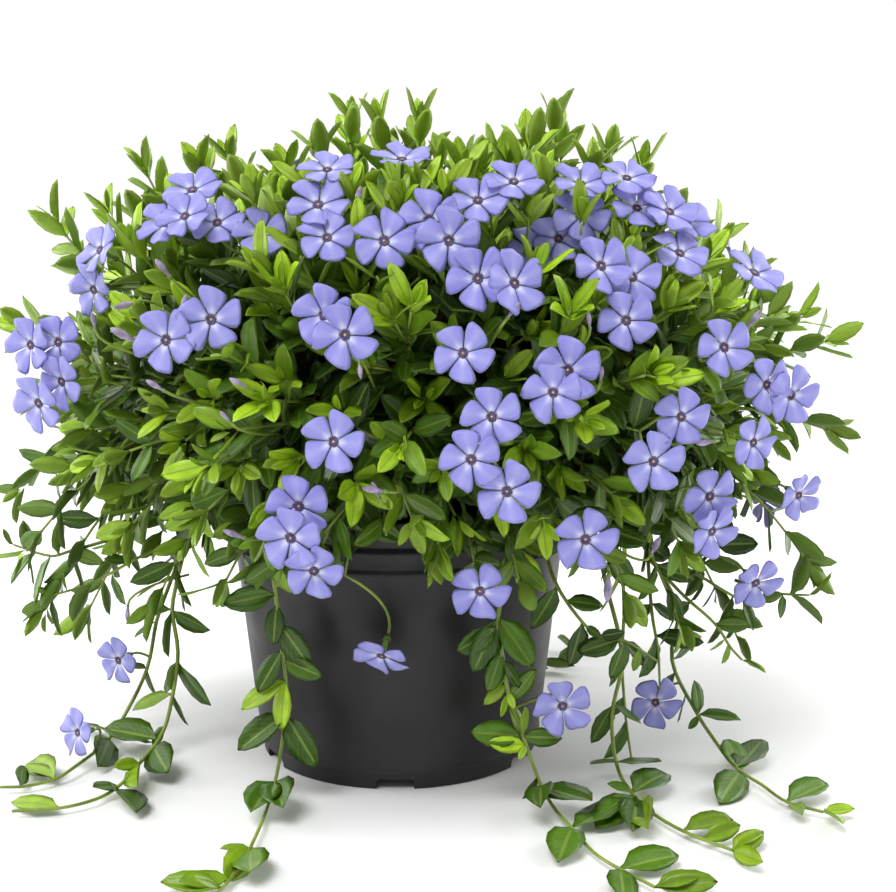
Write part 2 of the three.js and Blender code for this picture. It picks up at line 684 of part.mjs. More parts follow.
function makeCore(low, high) {
  const points = [];
  const faces = [];
  const add = (turn, share, height) => points.push(bushSide(turn, share).add(HEART).setZ(height)) - 1;
  const inset = 0.4 / COLUMN_RADIUS;
  const turnAt = (j) => low + inset + ((high - low - inset * 2) * j) / CORE_SIDES;
  const rows = CORE_PROFILE.map(([share, height], i) =>
    Array.from({ length: CORE_SIDES + 1 }, (_, j) => {
      const spiked = (i + j) % 2 === 1 && i > 2 && j > 0 && j < CORE_SIDES;
      const spike = spiked ? CORE_SPIKE * (0.6 + 0.8 * coreDice()) : 0;
      return add(turnAt(j), CORE_SHARE * (share + spike), height + (spiked ? 14 * (coreDice() - 0.6) : 0));
    }),
  );
  for (let i = 0; i < rows.length - 1; i += 1)
    for (let j = 0; j < CORE_SIDES; j += 1) {
      const [a, b, c, d] = [rows[i][j], rows[i][j + 1], rows[i + 1][j + 1], rows[i + 1][j]];
      faces.push(...((i + j) % 2 === 1 ? [[a, b, c], [a, c, d]] : [[a, b, d], [b, c, d]]));
    }
  const [bottom, top] = [CORE_PROFILE[0][1], CORE_PROFILE.at(-1)[1] + 6];
  const room = (turn) => (COLUMN_RADIUS + 2.2) / bushSide(turn, 1).length();
  const inner = [bottom, top].map((height) =>
    [0, CORE_SIDES / 2, CORE_SIDES].map((j) => add(turnAt(j), room(turnAt(j)), height)),
  );
  const caps = [[rows[0], inner[0], false], [rows.at(-1), inner[1], true]];
  for (const [row, ring, upward] of caps) {
    const cap = [[ring[0], row[2], ring[1]], [ring[1], row[4], ring[2]]];
    for (let j = 0; j < CORE_SIDES; j += 1) cap.push([row[j], row[j + 1], ring[Math.floor(j / 2)]]);
    faces.push(...(upward ? cap : cap.map(([a, b, c]) => [a, c, b])));
  }
  for (let k = 0; k < 2; k += 1) {
    const [a, b, c, d] = [inner[0][k], inner[0][k + 1], inner[1][k + 1], inner[1][k]];
    faces.push([a, c, b], [a, d, c]);
  }
  for (const [j, k, forward] of [[0, 0, true], [CORE_SIDES, 2, false]]) {
    const edge = [...rows.map((row) => row[j]), inner[1][k]];
    for (let i = 0; i < edge.length - 1; i += 1)
      faces.push(forward ? [inner[0][k], edge[i], edge[i + 1]] : [inner[0][k], edge[i + 1], edge[i]]);
  }
  return solid(faceted(points, faces));
}

function clumpName(point) {
  const across = point.x - HEART.x;
  const deep = point.y - HEART.y;
  if (Math.hypot(across, deep) < COLUMN_RADIUS - 3) return "leafy_clump_middle";
  const turn = THREE.MathUtils.radToDeg(Math.atan2(deep / REACH.y, across / REACH.x)) - SECTOR_TURN + 720;
  return `leafy_clump_${Math.floor((turn % 360) / (360 / SECTORS)) + 1}`;
}

const cores = new Map();

function addClump(name, core, x, y) {
  const stem = solid(upright(CLUMP_STEM_RADIUS, SOIL_TOP - HOLE_DEPTH, CLUMP_STEM_TOP, x, y, STEM_SIDES));
  cores.set(name, keep(name, core.add(stem)));
  holes.push(stemHole(CLUMP_STEM_RADIUS + GAP * 1.3, x, y));
}

const [columnLow, columnHigh] = [CORE_PROFILE[0][1], CORE_PROFILE.at(-1)[1] + 6];
const columnProfile = [
  [0, columnLow], [COLUMN_RADIUS, columnLow], [COLUMN_RADIUS, columnHigh - 4],
  [COLUMN_RADIUS * 0.6, columnHigh + 8], [0, columnHigh + 10],
];
const column = turned(columnProfile, 12).translate(HEART.x, HEART.y, 0);
addClump("leafy_clump_middle", solid(column), HEART.x, HEART.y);
for (let i = 0; i < SECTORS; i += 1) {
  const low = THREE.MathUtils.degToRad(SECTOR_TURN + (i * 360) / SECTORS);
  const high = THREE.MathUtils.degToRad(SECTOR_TURN + ((i + 1) * 360) / SECTORS);
  const foot = bushSide((low + high) / 2, 1).setLength(CLUMP_HOLE_CIRCLE);
  addClump(`leafy_clump_${i + 1}`, makeCore(low, high), HEART.x * 0.3 + foot.x, foot.y);
}

// A shoot's curve from inside the core out to its tip, arching up and over where the tip hangs low
function archTo(tip, [aside, rise, swing]) {
  const out = tip.clone().sub(HEART);
  const inward = out.clone().applyAxisAngle(SKY, THREE.MathUtils.degToRad(swing)).multiplyScalar(0.43);
  const root = HEART.clone().add(inward.setZ(Math.max(inward.z, -4)));
  const span = root.distanceTo(tip);
  const middle = root.clone().lerp(tip, 0.5);
  middle.z += span * (rise + (out.z < 0 ? 0.34 : 0.12));
  const level = new THREE.Vector3(out.y, -out.x, 0).normalize();
  middle.addScaledVector(level, aside * span);
  return new THREE.QuadraticBezierCurve3(root, middle, tip);
}

const ASIDES = [0, 0.1, -0.1, 0.2, -0.2, 0.3, -0.3, 0.4, -0.4];
const RISES = [0, 0.12, -0.12, 0.25];
const SWINGS = [0, 16, -16, 30, -30];
const BENDS = SWINGS.flatMap((swing) => RISES.flatMap((rise) => ASIDES.map((aside) => [aside, rise, swing])));
const shootDice = dice(37);

function shootStations(curve, marks, sizes, spreads) {
  const turn = Math.floor(shootDice() * 3);
  const root = { point: curve.v0, along: curve.getTangent(0), radius: STEM_RADIUS * 1.25, pair: null };
  const stations = marks.map((t, i) => {
    const [size, spread] = [sizes[i] * (0.9 + 0.2 * shootDice()), spreads[i] + 8 * shootDice()];
    const pair = { face: (turn + i * 2) % 3, size, spread };
    const radius = STEM_RADIUS * (1.25 - 0.45 * t);
    return { point: curve.getPoint(t), along: curve.getTangent(t), radius, pair };
  });
  return [root, ...stations];
}

// Each few blooms have a shoot behind them: it ends in the first one's stalk and bears the others' stalks
function growBloomShoot(bunch) {
  for (let i = 0; i < bunch.blooms.length; i += 3) {
    const [first, ...others] = bunch.blooms.slice(i, i + 3);
    const knot = first.root.clone().addScaledVector(first.face, -6);
    for (const { root, face } of others) knot.add(root).addScaledVector(face, -6);
    knot.divideScalar(others.length + 1);
    knot.addScaledVector(knot.clone().sub(HEART), -0.06);
    if (bunch.knot) knot.copy(bunch.knot);
    let stem = null;
    for (const crossed of [false, true])
      for (const bend of BENDS) {
        if (stem) break;
        const curve = archTo(knot, bend);
        const node = clumpName(curve.v0);
        const stations = [...shootStations(curve, [0.93], [1], [56]), ...stalkStations(knot, first)];
        stem = growStem(node, stations, [cores.get(node)], { crossed: crossed ? node : null });
        if (stem) for (const bloom of others) growStalk(node, knot, bloom, [stem]);
      }
    if (!stem) throw new Error(`${bunch.name} has no shoot`);
  }
}

for (const bunch of bunches) if (!hanging.some((entry) => entry.bunch === bunch)) growBloomShoot(bunch);

// A leafy shoot that bears no bloom; it is left out where every way to its tip is blocked
function growTip(tip) {
  for (const bend of BENDS) {
    const curve = archTo(tip, bend);
    const node = clumpName(curve.v0);
    const stations = shootStations(curve, [0.6, 1], [1, 0.7], [54, 30]);
    if (growStem(node, stations, [cores.get(node)], { pointed: true })) return;
  }
}

OUTLINE_TIPS.forEach(([across, down], i) => {
  const tip = onBush(across, down);
  const depth = OUTLINE_DEPTHS[i % OUTLINE_DEPTHS.length] * (1 - (0.6 * Math.abs(tip.x - HEART.x)) / REACH.x);
  growTip(onPlane(across, down, "y", depth));
});
for (const [across, down] of [...SKIRT_TIPS, ...INNER_TIPS]) growTip(onBush(across, down));
for (let k = 0; k < BACK_TIPS; k += 1) growTip(backPlace(k + 3, BACK_TIPS, 1).point);

plans.forEach(leafStem);
keep("soil", makeSoil(holes));

// Joins each node's bodies in one and gives it its colour
const finish = (color, roughness) => new THREE.MeshStandardMaterial({ color, roughness, metalness: 0 });
const potFinish = finish(POT_COLOUR, 0.5);
const soilFinish = finish(SOIL_COLOUR, 0.95);
const leafFinish = finish(LEAF_COLOUR, 0.55);
const trailFinish = finish(TRAIL_COLOUR, 0.55);
const bloomFinish = finish(BLOOM_COLOUR, 0.6);

function finishOf(name) {
  if (name === "pot") return potFinish;
  if (name === "soil") return soilFinish;
  if (name.startsWith("blooms")) return bloomFinish;
  return name.startsWith("trailing") ? trailFinish : leafFinish;
}

const plant = new THREE.Group();
plant.name = "potted_periwinkle";
for (const [name, pieces] of bodies) {
  const [whole] = wasm.Manifold.union(pieces)
    .simplify(SIMPLER)
    .decompose()
    .sort((a, b) => b.volume() - a.volume());
  const mesh = new THREE.Mesh(geometryOf(whole), finishOf(name));
  mesh.name = name;
  plant.add(mesh);
}

export default plant;
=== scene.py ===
# %% [markdown]
# # A potted small-leaved periwinkle
# This notebook dresses a plain solid model of a periwinkle in a black nursery pot. The solid model,
# called the frame, already has the right sizes: the pot, the soil, the clumps of leafy shoots, the
# trailing stems and the places of all blooms. Here each piece gets its real shape and finish: thousands
# of thin leaves in pairs on arching stems, blooms with five slanted petals, buds, trailing stems and
# the satin pot. Lengths are in metres, +Z is up, and the viewer stands on the -Y side.

import json
import math
import random

import bmesh
import bpy
import numpy as np
from mathutils import Matrix, Vector
from mathutils.bvhtree import BVHTree

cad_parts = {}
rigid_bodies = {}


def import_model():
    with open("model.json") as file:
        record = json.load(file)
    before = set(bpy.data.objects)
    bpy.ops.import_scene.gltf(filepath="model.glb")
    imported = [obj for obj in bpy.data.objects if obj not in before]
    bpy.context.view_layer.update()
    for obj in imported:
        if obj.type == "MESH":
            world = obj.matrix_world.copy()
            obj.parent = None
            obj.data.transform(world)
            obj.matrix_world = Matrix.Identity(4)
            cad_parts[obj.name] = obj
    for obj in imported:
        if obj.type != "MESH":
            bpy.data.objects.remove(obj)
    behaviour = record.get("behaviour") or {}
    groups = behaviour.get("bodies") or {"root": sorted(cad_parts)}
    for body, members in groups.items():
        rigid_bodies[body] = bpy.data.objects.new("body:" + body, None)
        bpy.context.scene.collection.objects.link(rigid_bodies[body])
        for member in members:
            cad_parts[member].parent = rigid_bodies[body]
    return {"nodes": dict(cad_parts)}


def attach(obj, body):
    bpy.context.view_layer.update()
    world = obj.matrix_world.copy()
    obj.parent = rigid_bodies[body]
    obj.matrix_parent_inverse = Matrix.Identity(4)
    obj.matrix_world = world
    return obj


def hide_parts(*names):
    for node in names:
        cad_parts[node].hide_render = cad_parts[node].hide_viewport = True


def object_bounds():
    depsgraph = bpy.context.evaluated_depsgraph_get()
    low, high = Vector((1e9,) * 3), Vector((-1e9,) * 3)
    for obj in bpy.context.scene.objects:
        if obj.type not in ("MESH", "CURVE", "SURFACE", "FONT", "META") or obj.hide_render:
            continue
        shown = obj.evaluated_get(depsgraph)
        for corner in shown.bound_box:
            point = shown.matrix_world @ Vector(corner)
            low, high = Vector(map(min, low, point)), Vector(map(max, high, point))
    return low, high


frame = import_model()
cad_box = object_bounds()
bpy.ops.object.select_all(action="DESELECT")
MM = 0.001
UP = Vector((0, 0, 1))
print("frame nodes:", len(frame["nodes"]))

# %% [markdown]
# ## The camera
# The photo was taken from a little above the pot's rim, about three quarters of a metre away. The pot's
# outline gave these numbers: the width of its base and rim, its foot line and its two rim bands all
# fall in place with them. The optical centre is the middle of the picture, so the camera needs no
# shift.

# %% Place the camera
PICTURE_WIDTH = 896
PICTURE_HEIGHT = 892
FOCAL_PIXELS = 1330
SENSOR_WIDTH = 36
EYE = Vector((0.0275, -0.740, 0.270))
PITCH = math.radians(7.7)

view = bpy.data.cameras.new("view")
view.sensor_fit = "HORIZONTAL"
view.sensor_width = SENSOR_WIDTH
view.lens = FOCAL_PIXELS / PICTURE_WIDTH * view.sensor_width
camera = bpy.data.objects.new("camera", view)
camera.location = EYE
camera.rotation_euler = (math.pi / 2 - PITCH, 0, 0)
bpy.context.scene.collection.objects.link(camera)
bpy.context.scene.camera = camera

FORWARD = Vector((0, math.cos(PITCH), -math.sin(PITCH)))
UPWARD = Vector((0, math.sin(PITCH), math.cos(PITCH)))
print("lens in millimetres:", round(view.lens, 1))

# %% [markdown]
# A place that is read in the photo is a column and a row. A line of sight through it meets an upright
# or a level plane, or the bush's rounded outside, and that gives the place in space. The outside is an
# egg round the bush's heart. Below the row where the shoots begin to hang it draws in a little.

# %% Turn a place in the picture into a place in space
HEART = Vector((0.012, 0, 0.190))
REACH = Vector((0.228, 0.178, 0.165))
HANG_ROW = 410
HANG_SPAN = 190
HANG_BACK = 0.1


def sight_line(column, row):
    across = (column - PICTURE_WIDTH / 2) / FOCAL_PIXELS
    high = (PICTURE_HEIGHT / 2 - row) / FOCAL_PIXELS
    return FORWARD + Vector((across, 0, 0)) + UPWARD * high


def on_plane(column, row, axis, value):
    line = sight_line(column, row)
    along = (value - EYE[axis]) / line[axis]
    return EYE + line * along


def shrink(vector):
    """A vector in the space where the bush's egg shape is a ball of radius 1."""
    return Vector((vector.x / REACH.x, vector.y / REACH.y, vector.z / REACH.z))


def stretch(vector):
    return Vector((vector.x * REACH.x, vector.y * REACH.y, vector.z * REACH.z))


def on_bush(column, row, most=1.0):
    low = min(max((row - HANG_ROW) / HANG_SPAN, 0), 1)
    share = most * (1 - HANG_BACK * low * low * (3 - 2 * low))
    line = sight_line(column, row)
    start = shrink(EYE - HEART)
    step = shrink(line)
    a = step.dot(step)
    b = start.dot(step)
    inside = b * b - a * (start.dot(start) - share * share)
    along = (-b - math.sqrt(inside)) / a if inside > 0 else -b / a
    return EYE + line * along


print("middle of the picture on the bush:", on_bush(448, 300))

# %% [markdown]
# ## Where the blooms are
# Every bloom of the frame is a simple star with one corner sunk in its throat and one at the end of its
# tube, 9.6 mm apart on the bloom's own axis. Looking for such pairs of corners gives each bloom's
# centre and the way it faces. The five ridge corners then give its turn and its size.

# %% Read the blooms' places from the frame
BLOOM_RADIUS = 14.6 * MM
THROAT_DEPTH = 2.4 * MM
TUBE_LENGTH = 12.0 * MM
RIDGE_SHARE = 0.6
RIDGE_SLACK = 0.06
RIDGE_LOW = 2.5 * MM
RIDGE_HIGH = 5.5 * MM
NOTCH_SHARE = 0.27
NOTCH_SLACK = 0.03
NOTCH_LOW = 0.3 * MM
NOTCH_HIGH = 1.5 * MM
LENGTH_SLACK = 0.02 * MM
PETALS = 5
SIDE_TURN = math.radians(17)
HANGING_TURN = math.radians(30)
HANGING_NODES = ("blooms_37", "blooms_38", "blooms_39", "blooms_40")
SIDEWAYS = 0.5
BACKWARD = 0.2


def corners_of(node):
    mesh = frame["nodes"][node].data
    places = np.zeros(len(mesh.vertices) * 3)
    mesh.vertices.foreach_get("co", places)
    return np.unique(places.reshape(-1, 3).round(6), axis=0)


def eased(face, node):
    """A bloom at the bush's far left or right turns a little back to the front, about its own centre."""
    if abs(face.x) < SIDEWAYS or face.y > BACKWARD:
        return Matrix.Identity(3)
    turn = HANGING_TURN if node in HANGING_NODES else SIDE_TURN
    return Matrix.Rotation(-turn if face.x > 0 else turn, 3, "Z")


def blooms_in(node):
    places = corners_of(node)
    gaps = np.linalg.norm(places[:, None] - places[None], axis=2)
    length = TUBE_LENGTH - THROAT_DEPTH
    found = []
    for top, low in np.argwhere(np.abs(gaps - length) < LENGTH_SLACK):
        face = (places[top] - places[low]) / gaps[top, low]
        away = places - places[top]
        high = away @ face
        flat = away - high[:, None] * face
        out = np.linalg.norm(flat, axis=1) / BLOOM_RADIUS
        notches = (np.abs(out - NOTCH_SHARE) < NOTCH_SLACK) & (high > NOTCH_LOW) & (high < NOTCH_HIGH)
        ridges = (np.abs(out - RIDGE_SHARE) < RIDGE_SLACK) & (high > RIDGE_LOW) & (high < RIDGE_HIGH)
        if notches.sum() < 3 or ridges.sum() < 2:
            continue
        centre = places[top] + face * THROAT_DEPTH
        side = Vector(face).orthogonal().normalized()
        other = Vector(face).cross(side)
        turns = np.arctan2(flat[ridges] @ np.array(other), flat[ridges] @ np.array(side))
        turn = math.atan2(np.sin(turns * PETALS).sum(), np.cos(turns * PETALS).sum()) / PETALS
        across = side * math.cos(turn) + other * math.sin(turn)
        size = float(np.median(out[ridges])) / RIDGE_SHARE
        ease = eased(Vector(face), node)
        found.append({
            "node": node,
            "centre": Vector(centre),
            "face": ease @ Vector(face),
            "across": ease @ across,
            "size": size,
        })
    return found


bloom_nodes = sorted(name for name in frame["nodes"] if name.startswith("blooms_"))
bunches = {node: blooms_in(node) for node in bloom_nodes}
blooms = [bloom for bunch in bunches.values() for bloom in bunch]
print("bunches:", len(bunches), "blooms:", len(blooms))

# %% [markdown]
# ## Finishes
# Each finish is a small graph of nodes that ends in one Principled shader. The patterns follow a
# piece's own UV map where they have to follow its shape, as veins do, and Object coordinates elsewhere.
# A few helpers keep the graphs short.

# %% Helpers for materials


def new_finish(name, roughness, colour=(0.5, 0.5, 0.5, 1)):
    finish = bpy.data.materials.new(name)
    finish.use_nodes = True
    shader = finish.node_tree.nodes["Principled BSDF"]
    shader.inputs["Base Color"].default_value = colour
    shader.inputs["Roughness"].default_value = roughness
    return finish, finish.node_tree, shader


def add_node(tree, kind, **settings):
    node = tree.nodes.new(kind)
    for key, value in settings.items():
        setattr(node, key, value)
    return node


def math_node(tree, operation, first, second=None):
    node = add_node(tree, "ShaderNodeMath", operation=operation)
    for slot, value in enumerate((first, second)):
        if value is None:
            continue
        if isinstance(value, (int, float)):
            node.inputs[slot].default_value = value
        else:
            tree.links.new(value, node.inputs[slot])
    return node.outputs[0]


def range_node(tree, value, low, high, new_low, new_high):
    node = add_node(tree, "ShaderNodeMapRange", interpolation_type="SMOOTHSTEP")
    tree.links.new(value, node.inputs["Value"])
    for key, number in zip(("From Min", "From Max", "To Min", "To Max"), (low, high, new_low, new_high)):
        node.inputs[key].default_value = number
    return node.outputs["Result"]


def mix_node(tree, factor, first, second):
    node = add_node(tree, "ShaderNodeMix", data_type="RGBA")
    for slot, value in ((0, factor), (6, first), (7, second)):
        if isinstance(value, (int, float, tuple)):
            node.inputs[slot].default_value = value
        else:
            tree.links.new(value, node.inputs[slot])
    return node.outputs[2]


def noise_node(tree, scale, detail=3.0):
    place = add_node(tree, "ShaderNodeTexCoord")
    noise = add_node(tree, "ShaderNodeTexNoise")
    noise.inputs["Scale"].default_value = scale
    noise.inputs["Detail"].default_value = detail
    tree.links.new(place.outputs["Object"], noise.inputs["Vector"])
    return noise.outputs["Fac"]


def bump_node(tree, shader, height, strength, distance):
    bump = add_node(tree, "ShaderNodeBump")
    bump.inputs["Strength"].default_value = strength
    bump.inputs["Distance"].default_value = distance
    tree.links.new(height, bump.inputs["Height"])
    tree.links.new(bump.outputs["Normal"], shader.inputs["Normal"])


def uv_of(tree):
    """The UV map as across, along and under: the underside's map lies one unit to the right of the top's."""
    uv = add_node(tree, "ShaderNodeUVMap", uv_map="UVMap")
    apart = add_node(tree, "ShaderNodeSeparateXYZ")
    tree.links.new(uv.outputs["UV"], apart.inputs[0])
    under = math_node(tree, "GREATER_THAN", apart.outputs["X"], 1.0)
    across = math_node(tree, "SUBTRACT", apart.outputs["X"], under)
    return across, apart.outputs["Y"], under


def tone_of(tree):
    tone = add_node(tree, "ShaderNodeAttribute", attribute_name="tone")
    apart = add_node(tree, "ShaderNodeSeparateColor")
    tree.links.new(tone.outputs["Color"], apart.inputs[0])
    return apart.outputs


# %% [markdown]
# A leaf is glossy dark green on top when it is old, yellow-green when it is young, and paler and duller
# below. A pale rib runs along its middle and faint veins slant off it. Each leaf carries its age and a
# chance value in a colour attribute called tone.

# %% The leaf finish
OLD_GREEN = (0.019, 0.052, 0.006, 1)
MIDDLE_GREEN = (0.074, 0.172, 0.007, 1)
YOUNG_GREEN = (0.345, 0.540, 0.018, 1)
RIB_GREEN = (0.210, 0.310, 0.045, 1)
UNDER_GREEN = (0.135, 0.215, 0.030, 1)
LEAF_VEINS = 60
LEAF_VEIN_SLANT = 38


def leaf_finish():
    finish, tree, shader = new_finish("periwinkle_leaf", 0.36)
    across, along, under = uv_of(tree)
    tone = tone_of(tree)
    old = mix_node(tree, range_node(tree, tone["Red"], 0.0, 0.5, 0, 1), OLD_GREEN, MIDDLE_GREEN)
    blade = mix_node(tree, range_node(tree, tone["Red"], 0.45, 1.0, 0, 1), old, YOUNG_GREEN)
    chance = range_node(tree, tone["Green"], 0.0, 1.0, 0.72, 1.3)
    patch = range_node(tree, noise_node(tree, 140), 0.3, 0.7, 0.86, 1.14)
    bright = add_node(tree, "ShaderNodeVectorMath", operation="SCALE")
    tree.links.new(blade, bright.inputs[0])
    tree.links.new(math_node(tree, "MULTIPLY", chance, patch), bright.inputs["Scale"])
    aside = math_node(tree, "ABSOLUTE", math_node(tree, "SUBTRACT", across, 0.5))
    slant = math_node(tree, "MULTIPLY", aside, LEAF_VEIN_SLANT)
    wave = math_node(tree, "SUBTRACT", math_node(tree, "MULTIPLY", along, LEAF_VEINS), slant)
    vein = range_node(tree, math_node(tree, "SINE", wave), 0.6, 1.0, 0, 0.2)
    rib = range_node(tree, aside, 0.02, 0.075, 0.75, 0)
    lines = math_node(tree, "MAXIMUM", vein, rib)
    top = mix_node(tree, lines, bright.outputs[0], RIB_GREEN)
    below = mix_node(tree, 0.55, bright.outputs[0], UNDER_GREEN)
    tree.links.new(mix_node(tree, under, top, below), shader.inputs["Base Color"])
    tree.links.new(range_node(tree, under, 0, 1, 0.31, 0.55), shader.inputs["Roughness"])
    shader.inputs["Specular IOR Level"].default_value = 0.4
    bump_node(tree, shader, math_node(tree, "SUBTRACT", 1.0, lines), 0.35, 0.0004)
    return finish


# %% [markdown]
# The petals are pale violet-blue. They turn white where they narrow at the throat, and fine darker
# veins fan out along them. Their backs are a little darker. The throat is a shallow violet well with a
# cream middle. Its dark violet is partly the tube's own colour and partly painted shade of the deep
# tube that the shallow well stands for.

# %% The petal finishes
PETAL_BLUE = (0.315, 0.316, 0.730, 1)
PETAL_DEEP = (0.225, 0.215, 0.670, 1)
PETAL_PALE = (0.520, 0.515, 0.820, 1)
PETAL_BACK = (0.270, 0.250, 0.640, 1)
PETAL_WHITE = (0.860, 0.860, 0.960, 1)
PETAL_VEINS = 75
# Dark violet of the throat: the tube's own violet, darkened with painted shade of its depth.
THROAT_SHADE_VIOLET = (0.085, 0.060, 0.170, 1)
THROAT_CREAM = (0.620, 0.420, 0.110, 1)
CALYX_GREEN = (0.150, 0.270, 0.040, 1)
STEM_GREEN = (0.210, 0.290, 0.040, 1)
BUD_VIOLET = (0.300, 0.250, 0.380, 1)
# Near-black green for the dark middle of the bush: painted shade.
PAINTED_SHADE_GREEN = (0.010, 0.018, 0.006, 1)


def petal_finish():
    finish, tree, shader = new_finish("periwinkle_petal", 0.55)
    across, along, under = uv_of(tree)
    tone = tone_of(tree)
    patch = range_node(tree, noise_node(tree, 90), 0.3, 0.7, 0, 1)
    half_patch = math_node(tree, "MULTIPLY", patch, 0.5)
    chance = math_node(tree, "ADD", half_patch, math_node(tree, "MULTIPLY", tone["Green"], 0.5))
    blue = mix_node(tree, math_node(tree, "MULTIPLY", chance, 0.55), PETAL_BLUE, PETAL_DEEP)
    wobble = math_node(tree, "MULTIPLY", noise_node(tree, 400), 1.6)
    wave = math_node(tree, "ADD", math_node(tree, "MULTIPLY", across, PETAL_VEINS), wobble)
    vein = range_node(tree, math_node(tree, "SINE", wave), 0.3, 1.0, 0, 0.16)
    veined = mix_node(tree, vein, blue, PETAL_DEEP)
    middle = math_node(tree, "ABSOLUTE", math_node(tree, "SUBTRACT", across, 0.5))
    pale_middle = range_node(tree, middle, 0.0, 0.3, 0.25, 0)
    soft = mix_node(tree, pale_middle, veined, PETAL_PALE)
    streak = math_node(tree, "ADD", along, math_node(tree, "MULTIPLY", middle, 0.45))
    ragged = math_node(tree, "ADD", streak, math_node(tree, "MULTIPLY", math_node(tree, "SINE", wave), 0.04))
    white = range_node(tree, ragged, 0.0, 0.48, 0.85, 0)
    top = mix_node(tree, white, soft, PETAL_WHITE)
    tree.links.new(mix_node(tree, under, top, PETAL_BACK), shader.inputs["Base Color"])
    shader.inputs["Specular IOR Level"].default_value = 0.25
    shader.inputs["Sheen Weight"].default_value = 0.15
    bump_node(tree, shader, math_node(tree, "SINE", wave), 0.2, 0.0002)
    return finish


def plain_finish(name, colour, roughness, scale, share, depth):
    """A finish of one colour with soft patches and a fine grain."""
    finish, tree, shader = new_finish(name, roughness, colour)
    darker = tuple(c * (1 - share) for c in colour[:3]) + (1,)
    lighter = tuple(min(c * (1 + share), 1) for c in colour[:3]) + (1,)
    patch = range_node(tree, noise_node(tree, scale), 0.3, 0.7, 0, 1)
    tree.links.new(mix_node(tree, patch, darker, lighter), shader.inputs["Base Color"])
    bump_node(tree, shader, noise_node(tree, scale * 6), 0.4, depth)
    return finish


LEAF = leaf_finish()
STEM = plain_finish("green_stem", STEM_GREEN, 0.5, 60, 0.3, 0.0002)
PETAL = petal_finish()
# The throat's finish: partly the tube's own violet, partly painted shade of the deep tube.
THROAT_SHADE = plain_finish("bloom_throat_painted_shade", THROAT_SHADE_VIOLET, 0.6, 500, 0.4, 0.0002)
CREAM = plain_finish("bloom_heart", THROAT_CREAM, 0.6, 900, 0.3, 0.0003)
CALYX = plain_finish("bloom_calyx", CALYX_GREEN, 0.5, 200, 0.25, 0.0002)
BUD = plain_finish("violet_bud", BUD_VIOLET, 0.6, 260, 0.35, 0.0003)
# The dark middle's finish is painted shade, a near-black green that stands for the shade inside the bush.
PAINTED_SHADE = plain_finish("painted_shade_middle", PAINTED_SHADE_GREEN, 0.9, 70, 0.6, 0.002)
print("finishes:", len(bpy.data.materials))

# %% [markdown]
# ## The pot
# A nursery pot is thin moulded plastic. A lathed profile gives its wall, the step above its foot, two
# fine ridges under the rim and the rolled lip. Six arches are cut out of the foot ring so that water
# can run away. Spinning the profile in edit mode is how such a round thing is made by hand.

# %% Draw the pot's profile
POT_TOP_RADIUS = 95.0
POT_BASE_RADIUS = 78.7
POT_HEIGHT = 145.0
POT_WALL = 2.2
FOOT_HEIGHT = 9.6
FOOT_INSET = 0.9
BAND_LOW = 117.6
BAND_HIGH = 128.6
RIDGE = 0.8
FLOOR_LOW = 6.0
FLOOR_HIGH = 8.4
PAD_RADIUS = 13.0
AXIS_GAP = 0.001


def pot_outer(height):
    return POT_BASE_RADIUS + (POT_TOP_RADIUS - POT_BASE_RADIUS) * height / POT_HEIGHT


def pot_inner(height):
    return pot_outer(height) - POT_WALL


def arc(centre, radius, start, end, steps):
    """Points of an arc in the profile's plane, as distance from the axis and height."""
    turns = [math.radians(start + (end - start) * i / steps) for i in range(steps + 1)]
    return [(centre[0] + radius * math.cos(t), centre[1] + radius * math.sin(t)) for t in turns]


def ridge_profile(height, size):
    """A fine moulded ridge on the outer wall, with a long slope above that catches the light."""
    base = pot_outer(height)
    return [
        (base, height - 1.0),
        (base + size * 0.8, height - 0.35),
        (base + size, height),
        (base + size * 0.9, height + 0.35),
        (base + size * 0.3, height + 1.5),
        (base, height + 2.2),
    ]


def pot_profile():
    points = [(AXIS_GAP, 0), (PAD_RADIUS - 0.6, 0), (PAD_RADIUS, 0.6), (PAD_RADIUS, FLOOR_LOW)]
    points += [(pot_inner(0) - 1.6, FLOOR_LOW), (pot_inner(0) - 1.0, 0.5), (pot_inner(0) - 0.4, 0)]
    points += arc((pot_outer(0) - FOOT_INSET - 0.8, 0.8), 0.8, -90, 0, 4)
    points += [(pot_outer(FOOT_HEIGHT - 0.6) - FOOT_INSET, FOOT_HEIGHT - 0.6)]
    points += ridge_profile(FOOT_HEIGHT + 0.4, 0.4)
    points += [(pot_outer(30), 30), (pot_outer(60), 60), (pot_outer(90), 90)]
    points += ridge_profile(BAND_LOW, RIDGE)
    points += ridge_profile(BAND_HIGH, RIDGE * 1.4)
    points += [(pot_outer(BAND_HIGH + 3) + 0.5, BAND_HIGH + 3)]
    points += [(pot_outer(POT_HEIGHT - 3) + RIDGE - 0.2, POT_HEIGHT - 3)]
    lip = POT_WALL / 2 + RIDGE / 2
    points += arc((POT_TOP_RADIUS + RIDGE - lip, POT_HEIGHT - lip), lip, 0, 180, 8)
    points += [(pot_inner(POT_HEIGHT - 6), POT_HEIGHT - 6), (pot_inner(100), 100), (pot_inner(50), 50)]
    points += [(pot_inner(FLOOR_HIGH + 2), FLOOR_HIGH + 2), (pot_inner(FLOOR_HIGH) - 2, FLOOR_HIGH)]
    points += [(AXIS_GAP, FLOOR_HIGH)]
    return points


print("points in the pot's profile:", len(pot_profile()))

# %% [markdown]
# Two helpers do the work on round things. One spins a profile about the upright axis and welds it. The
# other cuts closed pieces out of it with Boolean modifiers. Both leave the finished piece at the
# origin.

# %% Helpers that spin and cut


